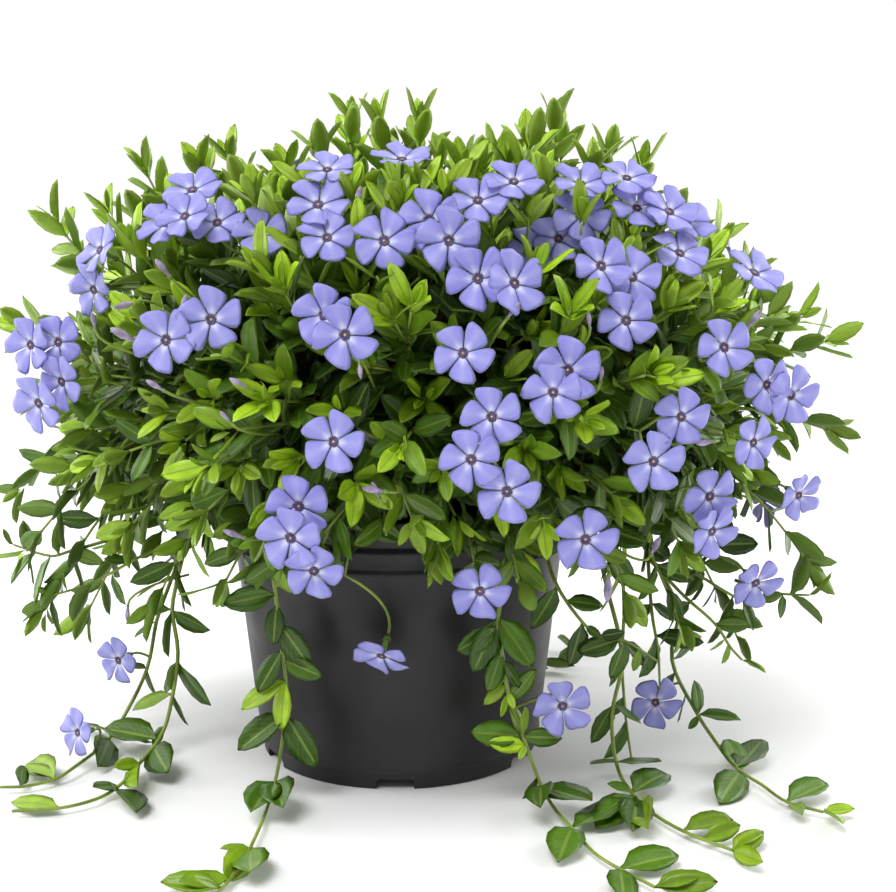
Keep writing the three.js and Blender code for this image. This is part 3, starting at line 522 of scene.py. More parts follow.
def spin_profile(name, profile, steps):
    """Spins a profile of radius and height pairs in millimetres round the upright axis to a closed mesh."""
    bpy.ops.mesh.primitive_circle_add(vertices=len(profile), radius=0.01)
    piece = bpy.context.object
    piece.name = name
    bpy.ops.object.mode_set(mode="EDIT")
    mesh = bmesh.from_edit_mesh(piece.data)
    mesh.verts.ensure_lookup_table()
    for vertex, (radius, height) in zip(mesh.verts, profile):
        vertex.co = Vector((radius * MM, 0, height * MM))
    closing = [e for e in mesh.edges if {v.index for v in e.verts} == {0, len(profile) - 1}]
    bmesh.ops.delete(mesh, geom=closing, context="EDGES")
    bmesh.update_edit_mesh(piece.data)
    bpy.ops.mesh.select_all(action="SELECT")
    bpy.ops.mesh.spin(steps=steps, angle=math.tau, center=(0, 0, 0), axis=(0, 0, 1))
    bpy.ops.mesh.select_all(action="SELECT")
    bpy.ops.mesh.remove_doubles(threshold=0.00002)
    bpy.ops.mesh.normals_make_consistent(inside=False)
    bpy.ops.object.mode_set(mode="OBJECT")
    return piece


def settle(piece):
    """Puts a piece's place into its mesh, so that its object sits at the origin."""
    bpy.ops.object.select_all(action="DESELECT")
    piece.select_set(True)
    bpy.context.view_layer.objects.active = piece
    bpy.ops.object.transform_apply(location=True, rotation=True, scale=True)
    bpy.ops.object.select_all(action="DESELECT")


def cut_away(piece, cutters):
    """Cuts other closed pieces out of a piece with Boolean modifiers."""
    for cutter in cutters:
        settle(cutter)
        cut = piece.modifiers.new("cut", "BOOLEAN")
        cut.operation = "DIFFERENCE"
        cut.solver = "EXACT"
        cut.object = cutter
        bpy.context.view_layer.objects.active = piece
        bpy.ops.object.modifier_apply(modifier=cut.name)
        bpy.data.objects.remove(cutter)


print("ready to spin and cut")

# %% [markdown]
# The foot's arches are cut by rounded boxes and the drain holes by cylinders, one hole between two
# arches. The plastic is nearly black and satin, with faint cloudy patches and a very fine grain.

# %% Turn the pot
POT_STEPS = 144
NOTCHES = 6
NOTCH_WIDTH = 20.0
NOTCH_HEIGHT = 5.5
ARCH_DEPTH = 20
ARCH_ROUND = 2.4
DRAIN_RADIUS = 5.0
DRAIN_CIRCLE = 48.0
SMOOTH_ANGLE = math.radians(35)
PLASTIC_DARK = (0.007, 0.007, 0.0075, 1)
PLASTIC_LIGHT = (0.012, 0.012, 0.013, 1)


def foot_arch(turn):
    bpy.ops.mesh.primitive_cube_add(size=1)
    arch = bpy.context.object
    arch.scale = (ARCH_DEPTH * MM, NOTCH_WIDTH * MM, NOTCH_HEIGHT * 2 * MM)
    arch.location = (pot_outer(0) * MM * math.cos(turn), pot_outer(0) * MM * math.sin(turn), 0)
    arch.rotation_euler = (0, 0, turn)
    settle(arch)
    bpy.context.view_layer.objects.active = arch
    bevel = arch.modifiers.new("round", "BEVEL")
    bevel.width = ARCH_ROUND * MM
    bevel.segments = 4
    bevel.limit_method = "ANGLE"
    bpy.ops.object.modifier_apply(modifier=bevel.name)
    return arch


def drain_hole(turn):
    place = (DRAIN_CIRCLE * MM * math.cos(turn), DRAIN_CIRCLE * MM * math.sin(turn), (FLOOR_LOW + 1) * MM)
    bpy.ops.mesh.primitive_cylinder_add(vertices=24, radius=DRAIN_RADIUS * MM, depth=8 * MM, location=place)
    return bpy.context.object


def pot_finish():
    finish, tree, shader = new_finish("black_nursery_plastic", 0.42)
    shader.inputs["Specular IOR Level"].default_value = 0.42
    patch = range_node(tree, noise_node(tree, 24), 0.35, 0.7, 0, 1)
    tree.links.new(mix_node(tree, patch, PLASTIC_DARK, PLASTIC_LIGHT), shader.inputs["Base Color"])
    tree.links.new(range_node(tree, noise_node(tree, 55), 0.3, 0.7, 0.40, 0.5), shader.inputs["Roughness"])
    bump_node(tree, shader, noise_node(tree, 1400, 2.0), 0.35, 0.00015)
    return finish


pot = spin_profile("nursery_pot", pot_profile(), POT_STEPS)
notch_turns = [i * math.tau / NOTCHES - math.pi / 2 for i in range(NOTCHES)]
cut_away(pot, [foot_arch(turn) for turn in notch_turns])
cut_away(pot, [drain_hole(turn + math.pi / NOTCHES) for turn in notch_turns])
pot.data.materials.append(pot_finish())
pot.select_set(True)
bpy.context.view_layer.objects.active = pot
bpy.ops.object.shade_smooth_by_angle(angle=SMOOTH_ANGLE)
bpy.ops.object.select_all(action="DESELECT")
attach(pot, "root")
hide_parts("pot")
print("pot faces:", len(pot.data.polygons))

# %% [markdown]
# ## The soil
# The pot is filled to just under its rim with dark crumbly potting soil. It shows in few places, under
# the leaves. Its crumbs are a displaced top on a lathed plug, so that the surface is real and not only
# shading.

# %% Fill the pot
SOIL_TOP = 127.0
SOIL_MOUND = 3.0
SOIL_GAP = 0.5
SOIL_RINGS = 22
SOIL_STEPS = 96
CRUMB_SINK = -1.6
CRUMB_RISE = 1.0
CRUMB_RADIUS = 88
SOIL_DARK = (0.012, 0.008, 0.005, 1)
SOIL_LIGHT = (0.070, 0.044, 0.026, 1)


def soil_finish():
    finish, tree, shader = new_finish("potting_soil", 0.95)
    crumb = range_node(tree, noise_node(tree, 320, 6.0), 0.35, 0.65, 0, 1)
    tree.links.new(mix_node(tree, crumb, SOIL_DARK, SOIL_LIGHT), shader.inputs["Base Color"])
    bump_node(tree, shader, noise_node(tree, 700, 5.0), 0.8, 0.0015)
    return finish


low = FLOOR_HIGH + SOIL_GAP
edge = pot_inner(SOIL_TOP) - 1.4
soil_profile = [(AXIS_GAP, low), (pot_inner(low) - 3.0, low), (edge, SOIL_TOP)]
for i in range(1, SOIL_RINGS + 1):
    share = i / SOIL_RINGS
    mound = SOIL_MOUND * math.sin(share * math.pi / 2)
    soil_profile.append((edge * (1 - share) + AXIS_GAP, SOIL_TOP + mound))
soil = spin_profile("potting_soil", soil_profile, SOIL_STEPS)
soil_random = random.Random(4)
for vertex in soil.data.vertices:
    if vertex.co.z > SOIL_TOP * MM and math.hypot(vertex.co.x, vertex.co.y) < CRUMB_RADIUS * MM:
        vertex.co.z += soil_random.uniform(CRUMB_SINK, CRUMB_RISE) * MM
soil.data.materials.append(soil_finish())
soil.data.shade_smooth()
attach(soil, "root")
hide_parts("soil")
print("soil faces:", len(soil.data.polygons))

# %% [markdown]
# ## One leaf
# A periwinkle leaf is a narrow oval blade on a very short stalk, folded a little along its rib, with a
# tip that bends down. It is modelled from a grid in four bends: each row is drawn in to the blade's
# width, a copy of the grid is turned over for the underside, and the two are welded along the edge, so
# that the leaf is thin and closed. A bend is the blade's fold along its rib, its droop at the tip and
# its twist.

# %% Model the leaf
LEAF_ROWS = (0.0, 0.09, 0.24, 0.45, 0.68, 0.88, 1.0)
LEAF_HALF_WIDTHS = (0.024, 0.052, 0.182, 0.240, 0.218, 0.128, 0.008)
LEAF_COLUMNS = 4
LEAF_THICKNESS = 0.012
LEAF_BENDS = ((0.35, 0.10, 0.0), (0.12, 0.18, 0.25), (0.55, 0.04, -0.2), (0.2, -0.05, 0.1))
EDGE_WAVE = 0.02
EDGE_WAVES = 9


def fold_grid(name, columns, rows, place, thickness):
    """A grid whose points are moved to place(u, v), with u from -1 to 1 and v from 0 to 1, made into a thin
    closed blade with its own UV map: the underside's lies one unit to the right."""
    bpy.ops.mesh.primitive_grid_add(x_subdivisions=columns, y_subdivisions=rows, size=2)
    blade = bpy.context.object
    blade.name = name
    bpy.ops.object.mode_set(mode="EDIT")
    mesh = bmesh.from_edit_mesh(blade.data)
    uv_map = mesh.loops.layers.uv.verify()
    for side in mesh.faces:
        for loop in side.loops:
            loop[uv_map].uv = ((loop.vert.co.x + 1) / 2, (loop.vert.co.y + 1) / 2)
    bpy.ops.mesh.select_all(action="SELECT")
    bpy.ops.mesh.duplicate()
    bpy.ops.mesh.flip_normals()
    mesh = bmesh.from_edit_mesh(blade.data)
    uv_map = mesh.loops.layers.uv.verify()
    for side in mesh.faces:
        if side.select:
            for loop in side.loops:
                loop[uv_map].uv.x += 1
    for vertex in mesh.verts:
        u, v = vertex.co.x, (vertex.co.y + 1) / 2
        rim = abs(u) > 0.999 or v < 0.001 or v > 0.999
        vertex.co = place(u, v)
        if vertex.select and not rim:
            vertex.co.z -= thickness
    bmesh.update_edit_mesh(blade.data)
    bpy.ops.mesh.select_all(action="SELECT")
    bpy.ops.mesh.remove_doubles(threshold=0.000001)
    bpy.ops.mesh.normals_make_consistent(inside=False)
    bpy.ops.object.mode_set(mode="OBJECT")
    return blade


def leaf_place(fold, droop, twist):
    def place(u, v):
        steps = np.linspace(0, 1, len(LEAF_ROWS))
        width = np.interp(v, steps, LEAF_HALF_WIDTHS)
        along = np.interp(v, steps, LEAF_ROWS)
        lean = twist * along
        x = u * width
        wave = EDGE_WAVE * math.sin(along * EDGE_WAVES) * abs(u)
        high = abs(u) * width * fold - droop * along * along + wave
        return Vector((x * math.cos(lean), along, high + x * math.sin(lean)))

    return place


def shape_of(piece):
    """A modelled piece as arrays, ready to be copied many times. The piece itself is then removed."""
    mesh = piece.data
    places = np.zeros(len(mesh.vertices) * 3)
    mesh.vertices.foreach_get("co", places)
    faces = [list(side.vertices) for side in mesh.polygons]
    marks = np.array([side.material_index for side in mesh.polygons])
    uvs = np.zeros(len(mesh.loops) * 2)
    if mesh.uv_layers:
        mesh.uv_layers[0].data.foreach_get("uv", uvs)
    bpy.data.objects.remove(piece)
    return {"places": places.reshape(-1, 3), "faces": faces, "marks": marks, "uvs": uvs.reshape(-1, 2)}


LEAF_FORMS = [
    shape_of(fold_grid("leaf", LEAF_COLUMNS, len(LEAF_ROWS) - 1, leaf_place(*bend), LEAF_THICKNESS))
    for bend in LEAF_BENDS
]
print("leaf faces:", len(LEAF_FORMS[0]["faces"]))

# %% [markdown]
# Copies of a shape are gathered in lists and turned into one mesh at the end, because a mesh with many
# thousand small faces is made much faster in one step. Every copy has vertices of its own.

# %% Gather copies in one mesh
TUBE_SIDES = 5
IDENTITY = Matrix.Identity(4)


class Gathering:
    """Copies of shapes on their way to become one piece."""

    def __init__(self):
        self.places = []
        self.faces = []
        self.marks = []
        self.uvs = []
        self.tones = []
        self.count = 0

    def add(self, shape, matrix, tone, mark_shift=0):
        places = shape["places"]
        turned = places @ np.array(matrix.to_3x3()).T + np.array(matrix.translation)
        self.places.append(turned)
        self.faces.extend([[corner + self.count for corner in side] for side in shape["faces"]])
        self.marks.append(shape["marks"] + mark_shift)
        self.uvs.append(shape["uvs"])
        self.tones.append(np.tile(tone, (len(places), 1)))
        self.count += len(places)

    def finish(self, name, finishes):
        mesh = bpy.data.meshes.new(name)
        mesh.from_pydata(np.vstack(self.places).tolist(), [], self.faces)
        uv_map = mesh.uv_layers.new(name="UVMap")
        uv_map.data.foreach_set("uv", np.vstack(self.uvs).ravel())
        tone = mesh.attributes.new("tone", "FLOAT_COLOR", "POINT")
        tone.data.foreach_set("color", np.vstack(self.tones).ravel())
        mesh.polygons.foreach_set("material_index", np.concatenate(self.marks).astype(np.int32))
        mesh.shade_smooth()
        for finish in finishes:
            mesh.materials.append(finish)
        piece = bpy.data.objects.new(name, mesh)
        bpy.context.scene.collection.objects.link(piece)
        return piece


def ringed_shape(places, rings, sides):
    """A closed shape whose points come ring by ring, with a cap at each end and no UV map of its own."""
    faces = []
    for i in range(rings - 1):
        for k in range(sides):
            a, b = i * sides + k, i * sides + (k + 1) % sides
            faces.append([a, b, b + sides, a + sides])
    faces.append(list(range(sides))[::-1])
    faces.append([(rings - 1) * sides + k for k in range(sides)])
    corners = sum(len(side) for side in faces)
    return {
        "places": np.array([tuple(place) for place in places]),
        "faces": faces,
        "marks": np.zeros(len(faces), int),
        "uvs": np.zeros((corners, 2)),
    }


def tube_shape(points, radii):
    """A closed tube through a row of points."""
    places = []
    side = None
    for i, point in enumerate(points):
        ahead = (points[min(i + 1, len(points) - 1)] - points[max(i - 1, 0)]).normalized()
        start = side if side is not None else ahead.orthogonal()
        side = (start - ahead * start.dot(ahead)).normalized()
        other = ahead.cross(side)
        for k in range(TUBE_SIDES):
            turn = k / TUBE_SIDES * math.tau
            places.append(point + (side * math.cos(turn) + other * math.sin(turn)) * radii[i])
    return ringed_shape(places, len(points), TUBE_SIDES)


def matrix_of(first, second, third, place):
    """The matrix that turns X, Y and Z into three given directions and moves the origin to a place."""
    matrix = Matrix((first, second, third)).transposed().to_4x4()
    matrix.translation = place
    return matrix


print("ready to gather")

# %% [markdown]
# ## One bloom
# A periwinkle bloom has five petals that leave a narrow tube. Each is narrow and white at the throat,
# widens like a wedge, and ends in a slanted edge with one corner further out, so the bloom looks like a
# small propeller. Behind it are the tapered tube and a green calyx with five points.

# %% Model the petal
PETAL_START = 0.11
PETAL_WIDTHS = (0.076, 0.145, 0.228, 0.308, 0.376, 0.418, 0.428, 0.350)
PETAL_COLUMNS = 6
PETAL_THICKNESS = 0.022


def petal_place(wave, curl):
    def place(u, v):
        width = np.interp(v, np.linspace(0, 1, len(PETAL_WIDTHS)), PETAL_WIDTHS)
        end = 0.955 + 0.055 * u - 0.055 * u * u
        along = PETAL_START + (end - PETAL_START) * v
        x = u * width + 0.05 * v * v
        high = -0.09 + 0.13 * math.sin(min(v * 2.2, 1.57)) + 0.05 * u * v
        high += 0.012 * math.cos(u * 5.0) * v + wave * math.sin(u * 3.0 + 1.0) * v * v + curl * v ** 3
        return Vector((along, x, high))

    return place


print("widest part of a petal:", 2 * max(PETAL_WIDTHS), "of the bloom's radius")

# %% [markdown]
# All other parts of a bloom are small primitives, extruded and scaled in edit mode. Lengths here are
# shares of the bloom's radius, and the bloom looks along +Z. Three blooms with petals that curl in
# different ways are enough, as every copy takes its own turn and size from the frame.

# %% Model the bloom
FUNNEL_SIDES = 10
FUNNEL = ((0.115, -0.10), (0.105, -0.20), (0.095, -0.36), (0.085, -0.58), (0.070, -0.76))
THROAT_RADIUS = 0.165
THROAT_RIM = 0.03
THROAT_TURN = math.radians(54)
HEART_HIGH = -0.070
BLOOM_FINISHES = (PETAL, THROAT_SHADE, CREAM, CALYX)
CURLS = ((0.03, 0.02), (-0.05, -0.06), (0.06, 0.07))


def add_funnel():
    """The tube behind the petals, from its mouth down to the stalk."""
    bpy.ops.mesh.primitive_circle_add(vertices=FUNNEL_SIDES, radius=FUNNEL[0][0], fill_type="NGON")
    funnel = bpy.context.object
    bpy.ops.object.mode_set(mode="EDIT")
    bpy.ops.mesh.select_all(action="SELECT")
    bpy.ops.transform.translate(value=(0, 0, FUNNEL[0][1]))
    for (wide, high), (narrow, low) in zip(FUNNEL, FUNNEL[1:]):
        bpy.ops.mesh.extrude_region_move(TRANSFORM_OT_translate={"value": (0, 0, low - high)})
        bpy.ops.transform.resize(value=(narrow / wide, narrow / wide, 1))
    bpy.ops.mesh.select_all(action="SELECT")
    bpy.ops.mesh.normals_make_consistent(inside=False)
    bpy.ops.object.mode_set(mode="OBJECT")
    return funnel


def add_throat():
    """The five-sided well, a shallow cup that stands in the tube's mouth. Its dark finish is painted shade of
    the deep tube.
    """
    place = (0, 0, HEART_HIGH)
    bpy.ops.mesh.primitive_cylinder_add(vertices=PETALS, radius=THROAT_RADIUS, depth=0.05, location=place)
    throat = bpy.context.object
    throat.rotation_euler = (0, 0, THROAT_TURN)
    bpy.ops.object.mode_set(mode="EDIT")
    mesh = bmesh.from_edit_mesh(throat.data)
    for side in mesh.faces:
        side.select_set(side.normal.z > 0.9)
    bpy.ops.mesh.inset(thickness=THROAT_RIM)
    bpy.ops.transform.translate(value=(0, 0, -0.035))
    bpy.ops.object.mode_set(mode="OBJECT")
    return throat


def add_heart():
    """The cream middle, a small knob that stands for the anthers that close over the well."""
    bpy.ops.mesh.primitive_ico_sphere_add(subdivisions=1, radius=0.050, location=(0, 0, HEART_HIGH))
    heart = bpy.context.object
    heart.scale = (1, 1, 0.7)
    return heart


def add_calyx():
    place = (0, 0, -0.74)
    bpy.ops.mesh.primitive_cone_add(vertices=5, radius1=0.05, radius2=0.115, depth=0.16, location=place)
    calyx = bpy.context.object
    bpy.ops.object.mode_set(mode="EDIT")
    mesh = bmesh.from_edit_mesh(calyx.data)
    for side in mesh.faces:
        side.select_set(abs(side.normal.z) < 0.7)
    bpy.ops.mesh.extrude_faces_move(TRANSFORM_OT_shrink_fatten={"value": 0.03})
    bpy.ops.transform.resize(value=(1.1, 1.1, 1.35))
    bpy.ops.object.mode_set(mode="OBJECT")
    return calyx


def bloom_shape(wave, curl):
    pieces = []
    for i in range(PETALS):
        place = petal_place(wave * (1 + 0.4 * math.sin(i * 2.1)), curl)
        petal = fold_grid("petal", PETAL_COLUMNS, len(PETAL_WIDTHS) - 1, place, PETAL_THICKNESS)
        petal.rotation_euler = (0, 0, i * math.tau / PETALS)
        pieces.append((petal, 0))
    pieces += [(add_funnel(), 3), (add_throat(), 1), (add_heart(), 2), (add_calyx(), 3)]
    bpy.ops.object.select_all(action="DESELECT")
    for piece, mark in pieces:
        piece.select_set(True)
        for finish in BLOOM_FINISHES:
            piece.data.materials.append(finish)
        for side in piece.data.polygons:
            side.material_index = mark
        if not piece.data.uv_layers:
            piece.data.uv_layers.new(name="UVMap")
    whole = pieces[0][0]
    bpy.context.view_layer.objects.active = whole
    bpy.ops.object.transform_apply(location=True, rotation=True, scale=True)
    bpy.ops.object.join()
    return shape_of(whole)


BLOOM_FORMS = [bloom_shape(wave, curl) for wave, curl in CURLS]
print("bloom faces:", len(BLOOM_FORMS[0]["faces"]))

# %% [markdown]
# ## All blooms
# Each bunch of the frame becomes one piece with real blooms at the same places and of the same sizes.
# They are turned as there, apart from those far left and right, which face the viewer a little more.

# %% Set the blooms
bloom_random = random.Random(3)
for node, bunch in bunches.items():
    gathered = Gathering()
    for bloom in bunch:
        across = bloom["across"]
        other = bloom["face"].cross(across)
        size = BLOOM_RADIUS * bloom["size"]
        matrix = matrix_of(across * size, other * size, bloom["face"] * size, bloom["centre"])
        tone = (0.0, bloom_random.random(), 0.0, 1.0)
        gathered.add(bloom_random.choice(BLOOM_FORMS), matrix, tone)
    piece = gathered.finish(node.replace("blooms", "bloom_bunch"), BLOOM_FINISHES)
    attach(piece, "root")
    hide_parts(node)
print("bloom pieces:", len(bunches))

# %% [markdown]
# ## Room for every leaf
# Leaves touch but hardly pass through each other. Each new leaf is tried as a small flat diamond
# against its neighbours, the blooms, the pot and the ground. Where it would cut through something, it
# is turned a little, or left out. A net of small boxes finds the neighbours quickly.

# %% Keep leaves apart
NET = 0.028
RIM_ROOM = 1
INNER_ROOM = 2
OUTER_ROOM = 2.4
SOIL_ROOM = 3
FLOOR_ROOM = 0.0005
net = {}
box_low = Vector(cad_box[0])
box_high = Vector(cad_box[1])


def net_cells(points):
    low = [min(p[k] for p in points) for k in range(3)]
    high = [max(p[k] for p in points) for k in range(3)]
    spans = [range(int(math.floor(low[k] / NET)), int(math.floor(high[k] / NET)) + 1) for k in range(3)]
    return [(i, j, k) for i in spans[0] for j in spans[1] for k in spans[2]]


def keep_clear_of(points, faces):
    tree = BVHTree.FromPolygons([tuple(p) for p in points], faces)
    for cell in net_cells(points):
        net.setdefault(cell, []).append(tree)


def meets(points, faces):
    tree = BVHTree.FromPolygons([tuple(p) for p in points], faces)
    seen = set()
    for cell in net_cells(points):
        for other in net.get(cell, ()):
            if id(other) not in seen and tree.overlap(other):
                return True
            seen.add(id(other))
    return False


def in_the_pot(point):
    """True for a place in the soil or in the pot's wall, or very near them."""
    height = point.z / MM
    radius = math.hypot(point.x, point.y) / MM
    if height > POT_HEIGHT + RIM_ROOM:
        return False
    at_wall = radius > pot_inner(height) - INNER_ROOM
    return radius < pot_outer(height) + OUTER_ROOM and (at_wall or height < SOIL_TOP + SOIL_ROOM)


print("side of the net's boxes in millimetres:", NET / MM)

# %% [markdown]
# Seen from the front, the bush ends at a wavy lower edge, and the pot shows below it. Shoots and leaves
# of the bush that would hang in front of the pot are left out below this edge. Trailing stems go on.

# %% Find the bush's lower edge
SKIRT_COLUMNS = (0, 60, 130, 200, 240, 345, 358, 418, 428, 470, 540, 560, 640, 700, 740, 800, 860)
SKIRT_ROWS = (650, 650, 655, 625, 600, 590, 546, 544, 588, 598, 612, 640, 680, 690, 670, 640, 600)
SKIRT_DEPTH = 0.040


def seen_at(point):
    """The column and row at which a place in space is seen in the picture."""
    away = point - EYE
    depth = away.dot(FORWARD)
    column = PICTURE_WIDTH / 2 + FOCAL_PIXELS * away.x / depth
    return column, PICTURE_HEIGHT / 2 - FOCAL_PIXELS * away.dot(UPWARD) / depth


def below_the_skirt(point):
    """True for a place at the front that hangs lower than the bush's lower edge in the photo."""
    if point.y > SKIRT_DEPTH:
        return False
    column, row = seen_at(point)
    return row > np.interp(column, SKIRT_COLUMNS, SKIRT_ROWS)


def has_room(points, trailing=False):
    for point in points:
        if in_the_pot(point) or point.z < FLOOR_ROOM:
            return False
        if any(point[k] < box_low[k] or point[k] > box_high[k] for k in range(3)):
            return False
        if not trailing and below_the_skirt(point):
            return False
    return True


print("rows of the lower edge:", min(SKIRT_ROWS), "to", max(SKIRT_ROWS))

# %% [markdown]
# In front of a bloom a view is kept free of leaves. It is short for the high blooms and for one in six,
# because the photo shows those between leaves, and deep for the four that hang by themselves. Each
# bloom also joins the net as a flat star with a pointed back.

# %% Keep the blooms in view
BLOOM_VIEW = 24 * MM
HIGH_BLOOM = 0.270
HIGH_VIEW = 5 * MM
HANGING_VIEW = 60 * MM
BLOOM_SINK = -1.5 * MM
BLOOM_CLEARANCE = 14 * MM
COVERED_EACH = 6
bloom_centres = np.array([tuple(bloom["centre"]) for bloom in blooms])
bloom_faces = np.array([tuple(bloom["face"]) for bloom in blooms])
bloom_views = np.where(bloom_centres[:, 2] > HIGH_BLOOM, HIGH_VIEW, BLOOM_VIEW)
bloom_views[::COVERED_EACH] = HIGH_VIEW
bloom_views[[bloom["node"] in HANGING_NODES for bloom in blooms]] = HANGING_VIEW


def hides_a_bloom(points):
    """True where a leaf's point stands close in front of a bloom."""
    for point in points:
        away = np.array(tuple(point)) - bloom_centres
        ahead = (away * bloom_faces).sum(axis=1)
        aside = np.linalg.norm(away - ahead[:, None] * bloom_faces, axis=1)
        if ((ahead > BLOOM_SINK) & (ahead < bloom_views) & (aside < BLOOM_CLEARANCE)).any():
            return True
    return False


STAR_SIDES = 10
STAR_SHARE = 0.92
STAR_RISE = 0.5 * MM
for bloom in blooms:
    across = bloom["across"]
    other = bloom["face"].cross(across)
    rim = []
    for k in range(STAR_SIDES):
        turn = k / STAR_SIDES * math.tau
        reach = BLOOM_RADIUS * STAR_SHARE * bloom["size"]
        rim.append(bloom["centre"] + (across * math.cos(turn) + other * math.sin(turn)) * reach)
    star = [bloom["centre"] + bloom["face"] * STAR_RISE, bloom["centre"] - bloom["face"] * TUBE_LENGTH] + rim
    faces = [(0, 2 + k, 2 + (k + 1) % STAR_SIDES) for k in range(STAR_SIDES)]
    faces += [(1, 2 + (k + 1) % STAR_SIDES, 2 + k) for k in range(STAR_SIDES)]
    keep_clear_of(star, faces)
print("kept clear of:", len(blooms), "blooms")

# %% [markdown]
# ## Growing a stem with its leaf pairs
# A periwinkle shoot is a thin arching stem with leaves in pairs, each pair turned against the last.
# Leaves are largest in the middle of a shoot. At its tip they are narrow, upright and yellow-green,
# like a small tulip. A blade turns its top towards the light, so here it is twisted part of the way to
# up and outward.

# %% Place a leaf
LEAF_LENGTH = 27 * MM
YOUNG_WIDTH = 0.86
YOUNG_SHARE = 0.3
LEAN_CHANGES = (0, -14, 12, -26)
LIGHT_SHARES = (0.8, 0.5, 1.0, 0.2)
LEAST_ANGLE = 0.1
LOWEST_LEAF = 0.6 * MM
TILT_STEPS = 6
TILT_MORE = 0.02
DIAMOND = [Vector(corner) for corner in ((0, 0.1, 0), (0.2, 0.5, 0.02), (0, 0.97, -0.05), (-0.2, 0.5, 0.02))]
DIAMOND_FACES = [(0, 1, 2), (0, 2, 3)]
leaf_random = random.Random(8)


def leaf_matrix(root, way, top, size, width=1.0):
    across = way.cross(top).normalized()
    top = across.cross(way).normalized()
    return matrix_of(across * size * width, way * size, top * size, root)


def leaf_diamond(matrix):
    """A leaf's four outermost corners: its foot, its right side, its tip and its left side."""
    return [matrix @ corner for corner in DIAMOND]


def placed(form, matrix):
    return form["places"] @ np.array(matrix.to_3x3()).T + np.array(matrix.translation)


def lift_tip(form, matrix):
    """Turns a leaf up about its foot, step by step, until all of it is clear of the floor."""
    for step in range(TILT_STEPS):
        low = placed(form, matrix)[:, 2].min()
        if low >= LOWEST_LEAF:
            break
        way = matrix.to_3x3().col[1]
        turn = Matrix.Rotation((LOWEST_LEAF - low) / way.length + TILT_MORE, 4, way.cross(UP))
        foot = matrix.translation.copy()
        matrix = Matrix.Translation(foot) @ turn @ Matrix.Translation(-foot) @ matrix
    return matrix


def inside_the_box(form, matrix):
    places = placed(form, matrix)
    above = (places.min(axis=0) >= np.array(box_low)).all()
    return above and (places.max(axis=0) <= np.array(box_high)).all()


def leaf_tone(youth):
    return (min(max(youth + leaf_random.uniform(-0.1, 0.1), 0), 1), leaf_random.random(), 0.0, 1.0)


def light_at(point):
    out = shrink(point - HEART)
    return (out.normalized() * 0.8 + UP).normalized()


def add_leaf(gathered, root, along, out, spread, size, youth, fresh=0.0, flat=False):
    """Tries a leaf in a few positions and adds the first that has room."""
    light = light_at(root)
    lift = 0.4 * min(max((root.z - HEART.z) / REACH.z, 0), 1)
    for change, share in zip(LEAN_CHANGES, LIGHT_SHARES):
        lean = math.radians(spread + change + leaf_random.uniform(-6, 6))
        way = (along * math.cos(lean) + out * math.sin(lean) + UP * lift).normalized()
        face = (along * math.sin(lean) - out * math.cos(lean)).normalized()
        top = face * (0.5 + 0.2 * fresh) + light * share * (1 - 0.3 * fresh)
        top += out.cross(along) * leaf_random.uniform(-0.5, 0.5)
        if flat:
            top = light + face * leaf_random.uniform(-0.5, 0.5)
        if way.cross(top).length < LEAST_ANGLE:
            top = face
        width = 1 - (1 - YOUNG_WIDTH) * min(fresh + YOUNG_SHARE * youth, 1)
        matrix = leaf_matrix(root, way, top, LEAF_LENGTH * size, width)
        points = leaf_diamond(matrix)
        if not has_room(points, trailing=flat) or hides_a_bloom(points) or meets(points, DIAMOND_FACES):
            continue
        form, tone = leaf_random.choice(LEAF_FORMS), leaf_tone(youth)
        matrix = lift_tip(form, matrix)
        if inside_the_box(form, matrix):
            keep_clear_of(points, DIAMOND_FACES)
            gathered.add(form, matrix, tone)
        return


print("leaf length in millimetres:", LEAF_LENGTH / MM)

# %% [markdown]
# A stem is a thin tube along a curve. Walking along it in steps of about one knot gives each leaf pair
# its place. At a leafy tip sits a tuft of four closed young leaves.

# %% Grow a stem
STEM_RADIUS = 1.0 * MM
KNOT_SPACING = 0.0145
TUFT_REACH = 14 * MM
TUFT_SIZES = (0.80, 0.74, 0.46, 0.40)


def curve_points(controls, steps):
    """Points along a smooth curve through a start, a middle pull and an end."""
    start, middle, end = controls
    shares = [i / steps for i in range(steps + 1)]
    return [start * (1 - t) ** 2 + middle * 2 * t * (1 - t) + end * t * t for t in shares]


def walk(points, spacing, first):
    """Places at about even spacing along a row of points, with direction and share of the whole way."""
    lengths = [0.0]
    for a, b in zip(points, points[1:]):
        lengths.append(lengths[-1] + (b - a).length)
    distance = first
    while distance < lengths[-1]:
        i = int(np.searchsorted(lengths, distance)) - 1
        i = min(max(i, 0), len(points) - 2)
        t = (distance - lengths[i]) / max(lengths[i + 1] - lengths[i], 1e-9)
        along = (points[i + 1] - points[i]).normalized()
        yield points[i].lerp(points[i + 1], t), along, distance / lengths[-1]
        distance += spacing * leaf_random.uniform(0.85, 1.15)


def add_stem(gathered, points, radius, youth):
    radii = [radius * (1.15 - 0.5 * i / (len(points) - 1)) for i in range(len(points))]
    gathered.add(tube_shape(points, radii), IDENTITY, (youth, 0.5, 0, 1), mark_shift=1)


def add_tuft(gathered, end, along, turn, youth, size):
    """The closed young leaves at a shoot's end: an outer pair and a smaller inner pair."""
    side = along.orthogonal().normalized()
    opened = leaf_random.uniform(22, 44)
    for k in range(4):
        out = Matrix.Rotation(turn + math.pi / 2 * (k // 2) + math.pi * k, 3, along) @ side
        small = TUFT_SIZES[k] * size * leaf_random.uniform(0.9, 1.1)
        foot = end + along * (k // 2) * 3 * MM + out * 1.2 * MM
        add_leaf(gathered, foot, along, out, opened - 10 * (k // 2), small, youth + 0.7, fresh=1.0)


